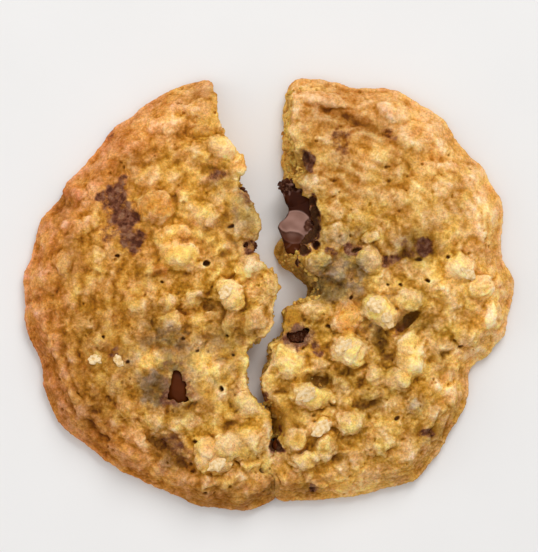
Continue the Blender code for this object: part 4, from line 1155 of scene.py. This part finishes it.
class COOKIE_OT_add_flakes(bpy.types.Operator):
    """Adds the oat flakes that stand out of the crust"""

    bl_idname = "cookie.add_flakes"
    bl_label = "Add Oat Flakes"

    def execute(self, context):
        trees = tree_of([bpy.data.objects["dough_left"], bpy.data.objects["dough_right"]])
        shapes = []
        for number, (x, y, length, width, turn, tilt) in enumerate(FLAKES):
            place, normal = ground_at(trees, x, y)
            shape = lumpy_ball((length / 2, width / 2, 0.42), 0.6, 3.7 * number, 4)
            for vertex in shape.verts:
                vertex.co.z += 0.06 * vertex.co.x**2 - 0.12 * math.exp(-((vertex.co.y / 0.3) ** 2))
            lay = normal.to_track_quat("Z", "X").to_matrix().to_4x4()
            spin = Matrix.Rotation(math.radians(turn), 4, "Z") @ Matrix.Rotation(math.radians(tilt), 4, "Y")
            shape.transform(Matrix.Translation(place / MM) @ lay.lerp(Matrix.Identity(4), 0.6) @ spin)
            shapes.append(shape)
        piece = joined("oat_flakes", shapes)
        settle(piece, oat_material(context.scene.cookie_colours))
        return {"FINISHED"}


class COOKIE_OT_add_crumbs(bpy.types.Operator):
    """Adds the crumbs that cling to the torn faces"""

    bl_idname = "cookie.add_crumbs"
    bl_label = "Add Crumbs"

    def execute(self, context):
        form = context.scene.cookie_form
        rng = random.Random(form.seed)
        shapes = []
        for name in ("dough_left", "dough_right"):
            mesh = bpy.data.objects[name].data
            torn, smear = mesh.attributes["torn"].data, mesh.attributes["smear"].data
            places = []
            for vertex in mesh.vertices:
                crumbly = torn[vertex.index].value > 0.5 and smear[vertex.index].value < 0.3
                if crumbly and vertex.co.z > 2 * MM:
                    places.append(vertex)
            for vertex in rng.sample(places, min(form.crumbs // 2, len(places))):
                size = rng.uniform(0.2, 0.6)
                sizes = [size * rng.uniform(0.7, 1.3) for _ in range(3)]
                shape = lumpy_ball(sizes, 0.7, rng.uniform(0, 99), 2)
                turn = Matrix.Rotation(rng.uniform(0, 6), 4, "Z")
                shape.transform(Matrix.Translation(vertex.co / MM) @ turn)
                shapes.append(shape)
        piece = joined("crumbs", shapes)
        Skin(piece.data).mark("torn", np.ones(len(piece.data.vertices)))
        settle(piece, bpy.data.materials["baked_dough"])
        return {"FINISHED"}


class COOKIE_OT_add_stage(bpy.types.Operator):
    """Adds the pale floor, the soft light and the camera straight above"""

    bl_idname = "cookie.add_stage"
    bl_label = "Add Stage"

    def execute(self, context):
        look = context.scene.cookie_stage
        self.add_floor(look)
        self.add_light(look)
        self.add_camera(context, look)
        return {"FINISHED"}

    def add_floor(self, look):
        mesh = bpy.data.meshes.new("floor")
        shape = bmesh.new()
        bmesh.ops.create_grid(shape, x_segments=8, y_segments=8, size=FLOOR_REACH)
        shape.to_mesh(mesh)
        shape.free()
        floor = bpy.data.objects.new("floor", mesh)
        floor.location.z = FLOOR_LEVEL
        bpy.context.scene.collection.objects.link(floor)
        shades = Shades("pale_floor")
        clouds = shades.clouds(30.0, 3.0)
        darker = tuple(0.985 * part for part in look.floor)
        colour = shades.mixed(shades.step(clouds, 0.3, 0.7), look.floor, darker)
        shades.bump(shades.clouds(1.2, 3.0), 0.03, 0.2)
        mesh.materials.append(shades.finish(colour, shades.step(clouds, 0.3, 0.7, 0.55, 0.65), FLOOR_SHINE))

    def add_light(self, look):
        """Even light that is brighter overhead, and two soft lamps."""
        world = bpy.data.worlds.new("even_light")
        bpy.context.scene.world = world
        world.use_nodes = True
        tree = world.node_tree
        place = tree.nodes.new("ShaderNodeTexCoord")
        parts = tree.nodes.new("ShaderNodeSeparateXYZ")
        tree.links.new(place.outputs["Generated"], parts.inputs[0])
        height = tree.nodes.new("ShaderNodeMapRange")
        tree.links.new(parts.outputs["Z"], height.inputs["Value"])
        height.inputs["To Min"].default_value = 0.1 * look.sky
        height.inputs["To Max"].default_value = 1.5 * look.sky
        background = tree.nodes["Background"]
        background.inputs["Color"].default_value = (1.0, 0.99, 0.98, 1.0)
        tree.links.new(height.outputs["Result"], background.inputs["Strength"])
        self.add_lamp("soft_key", look.key, KEY_SIZE, KEY_PLACE)
        self.add_lamp("soft_fill", look.fill, FILL_SIZE, FILL_PLACE)

    def add_lamp(self, name, power, size, place):
        """A round lamp that shines at the middle of the cookie."""
        lamp = bpy.data.lights.new(name, "AREA")
        lamp.shape = "DISK"
        lamp.size = size
        lamp.energy = power
        item = bpy.data.objects.new(name, lamp)
        item.location = place
        item.rotation_mode = "QUATERNION"
        item.rotation_quaternion = Vector(place).to_track_quat("Z", "Y")
        bpy.context.scene.collection.objects.link(item)

    def add_camera(self, context, look):
        """Straight above, so far away that the picture shows as much as the photograph."""
        camera = bpy.data.cameras.new("camera")
        camera.lens = look.lens
        camera.sensor_width = SENSOR_WIDTH
        camera.clip_start, camera.clip_end = 0.01, 5.0
        distance = look.lens / SENSOR_WIDTH * PICTURE_PIXELS * PIXEL
        item = bpy.data.objects.new("camera", camera)
        item.location = (0.0, PICTURE_MIDDLE_Y * MM, (distance + PICTURE_LEVEL) * MM)
        context.scene.collection.objects.link(item)
        context.scene.camera = item
        context.scene.view_settings.view_transform = "Standard"


class COOKIE_PT_panel(bpy.types.Panel):
    """Lists the cookie's pieces and their settings"""

    bl_idname = "COOKIE_PT_panel"
    bl_label = "Torn Oatmeal Cookie"
    bl_space_type = "VIEW_3D"
    bl_region_type = "UI"
    bl_category = "Cookie"

    def draw(self, context):
        for operator in OPERATORS:
            self.layout.operator(operator.bl_idname)
        for settings in (context.scene.cookie_form, context.scene.cookie_colours, context.scene.cookie_stage):
            column = self.layout.column()
            for name in settings.bl_rna.properties.keys():
                if name not in ("rna_type", "name"):
                    column.prop(settings, name)


OPERATORS = (
    COOKIE_OT_add_dough,
    COOKIE_OT_add_chocolate,
    COOKIE_OT_add_flakes,
    COOKIE_OT_add_crumbs,
    COOKIE_OT_add_stage,
)
CLASSES = (CookieForm, CookieColours, CookieStage, *OPERATORS, COOKIE_PT_panel)


def register():
    for item in CLASSES:
        bpy.utils.register_class(item)
    bpy.types.Scene.cookie_form = bpy.props.PointerProperty(type=CookieForm)
    bpy.types.Scene.cookie_colours = bpy.props.PointerProperty(type=CookieColours)
    bpy.types.Scene.cookie_stage = bpy.props.PointerProperty(type=CookieStage)


def unregister():
    del bpy.types.Scene.cookie_stage
    del bpy.types.Scene.cookie_colours
    del bpy.types.Scene.cookie_form
    for item in reversed(CLASSES):
        bpy.utils.unregister_class(item)


def main():
    register()
    for operator in OPERATORS:
        group, name = operator.bl_idname.split(".")
        getattr(getattr(bpy.ops, group), name)()


if __name__ == "__main__":
    main()
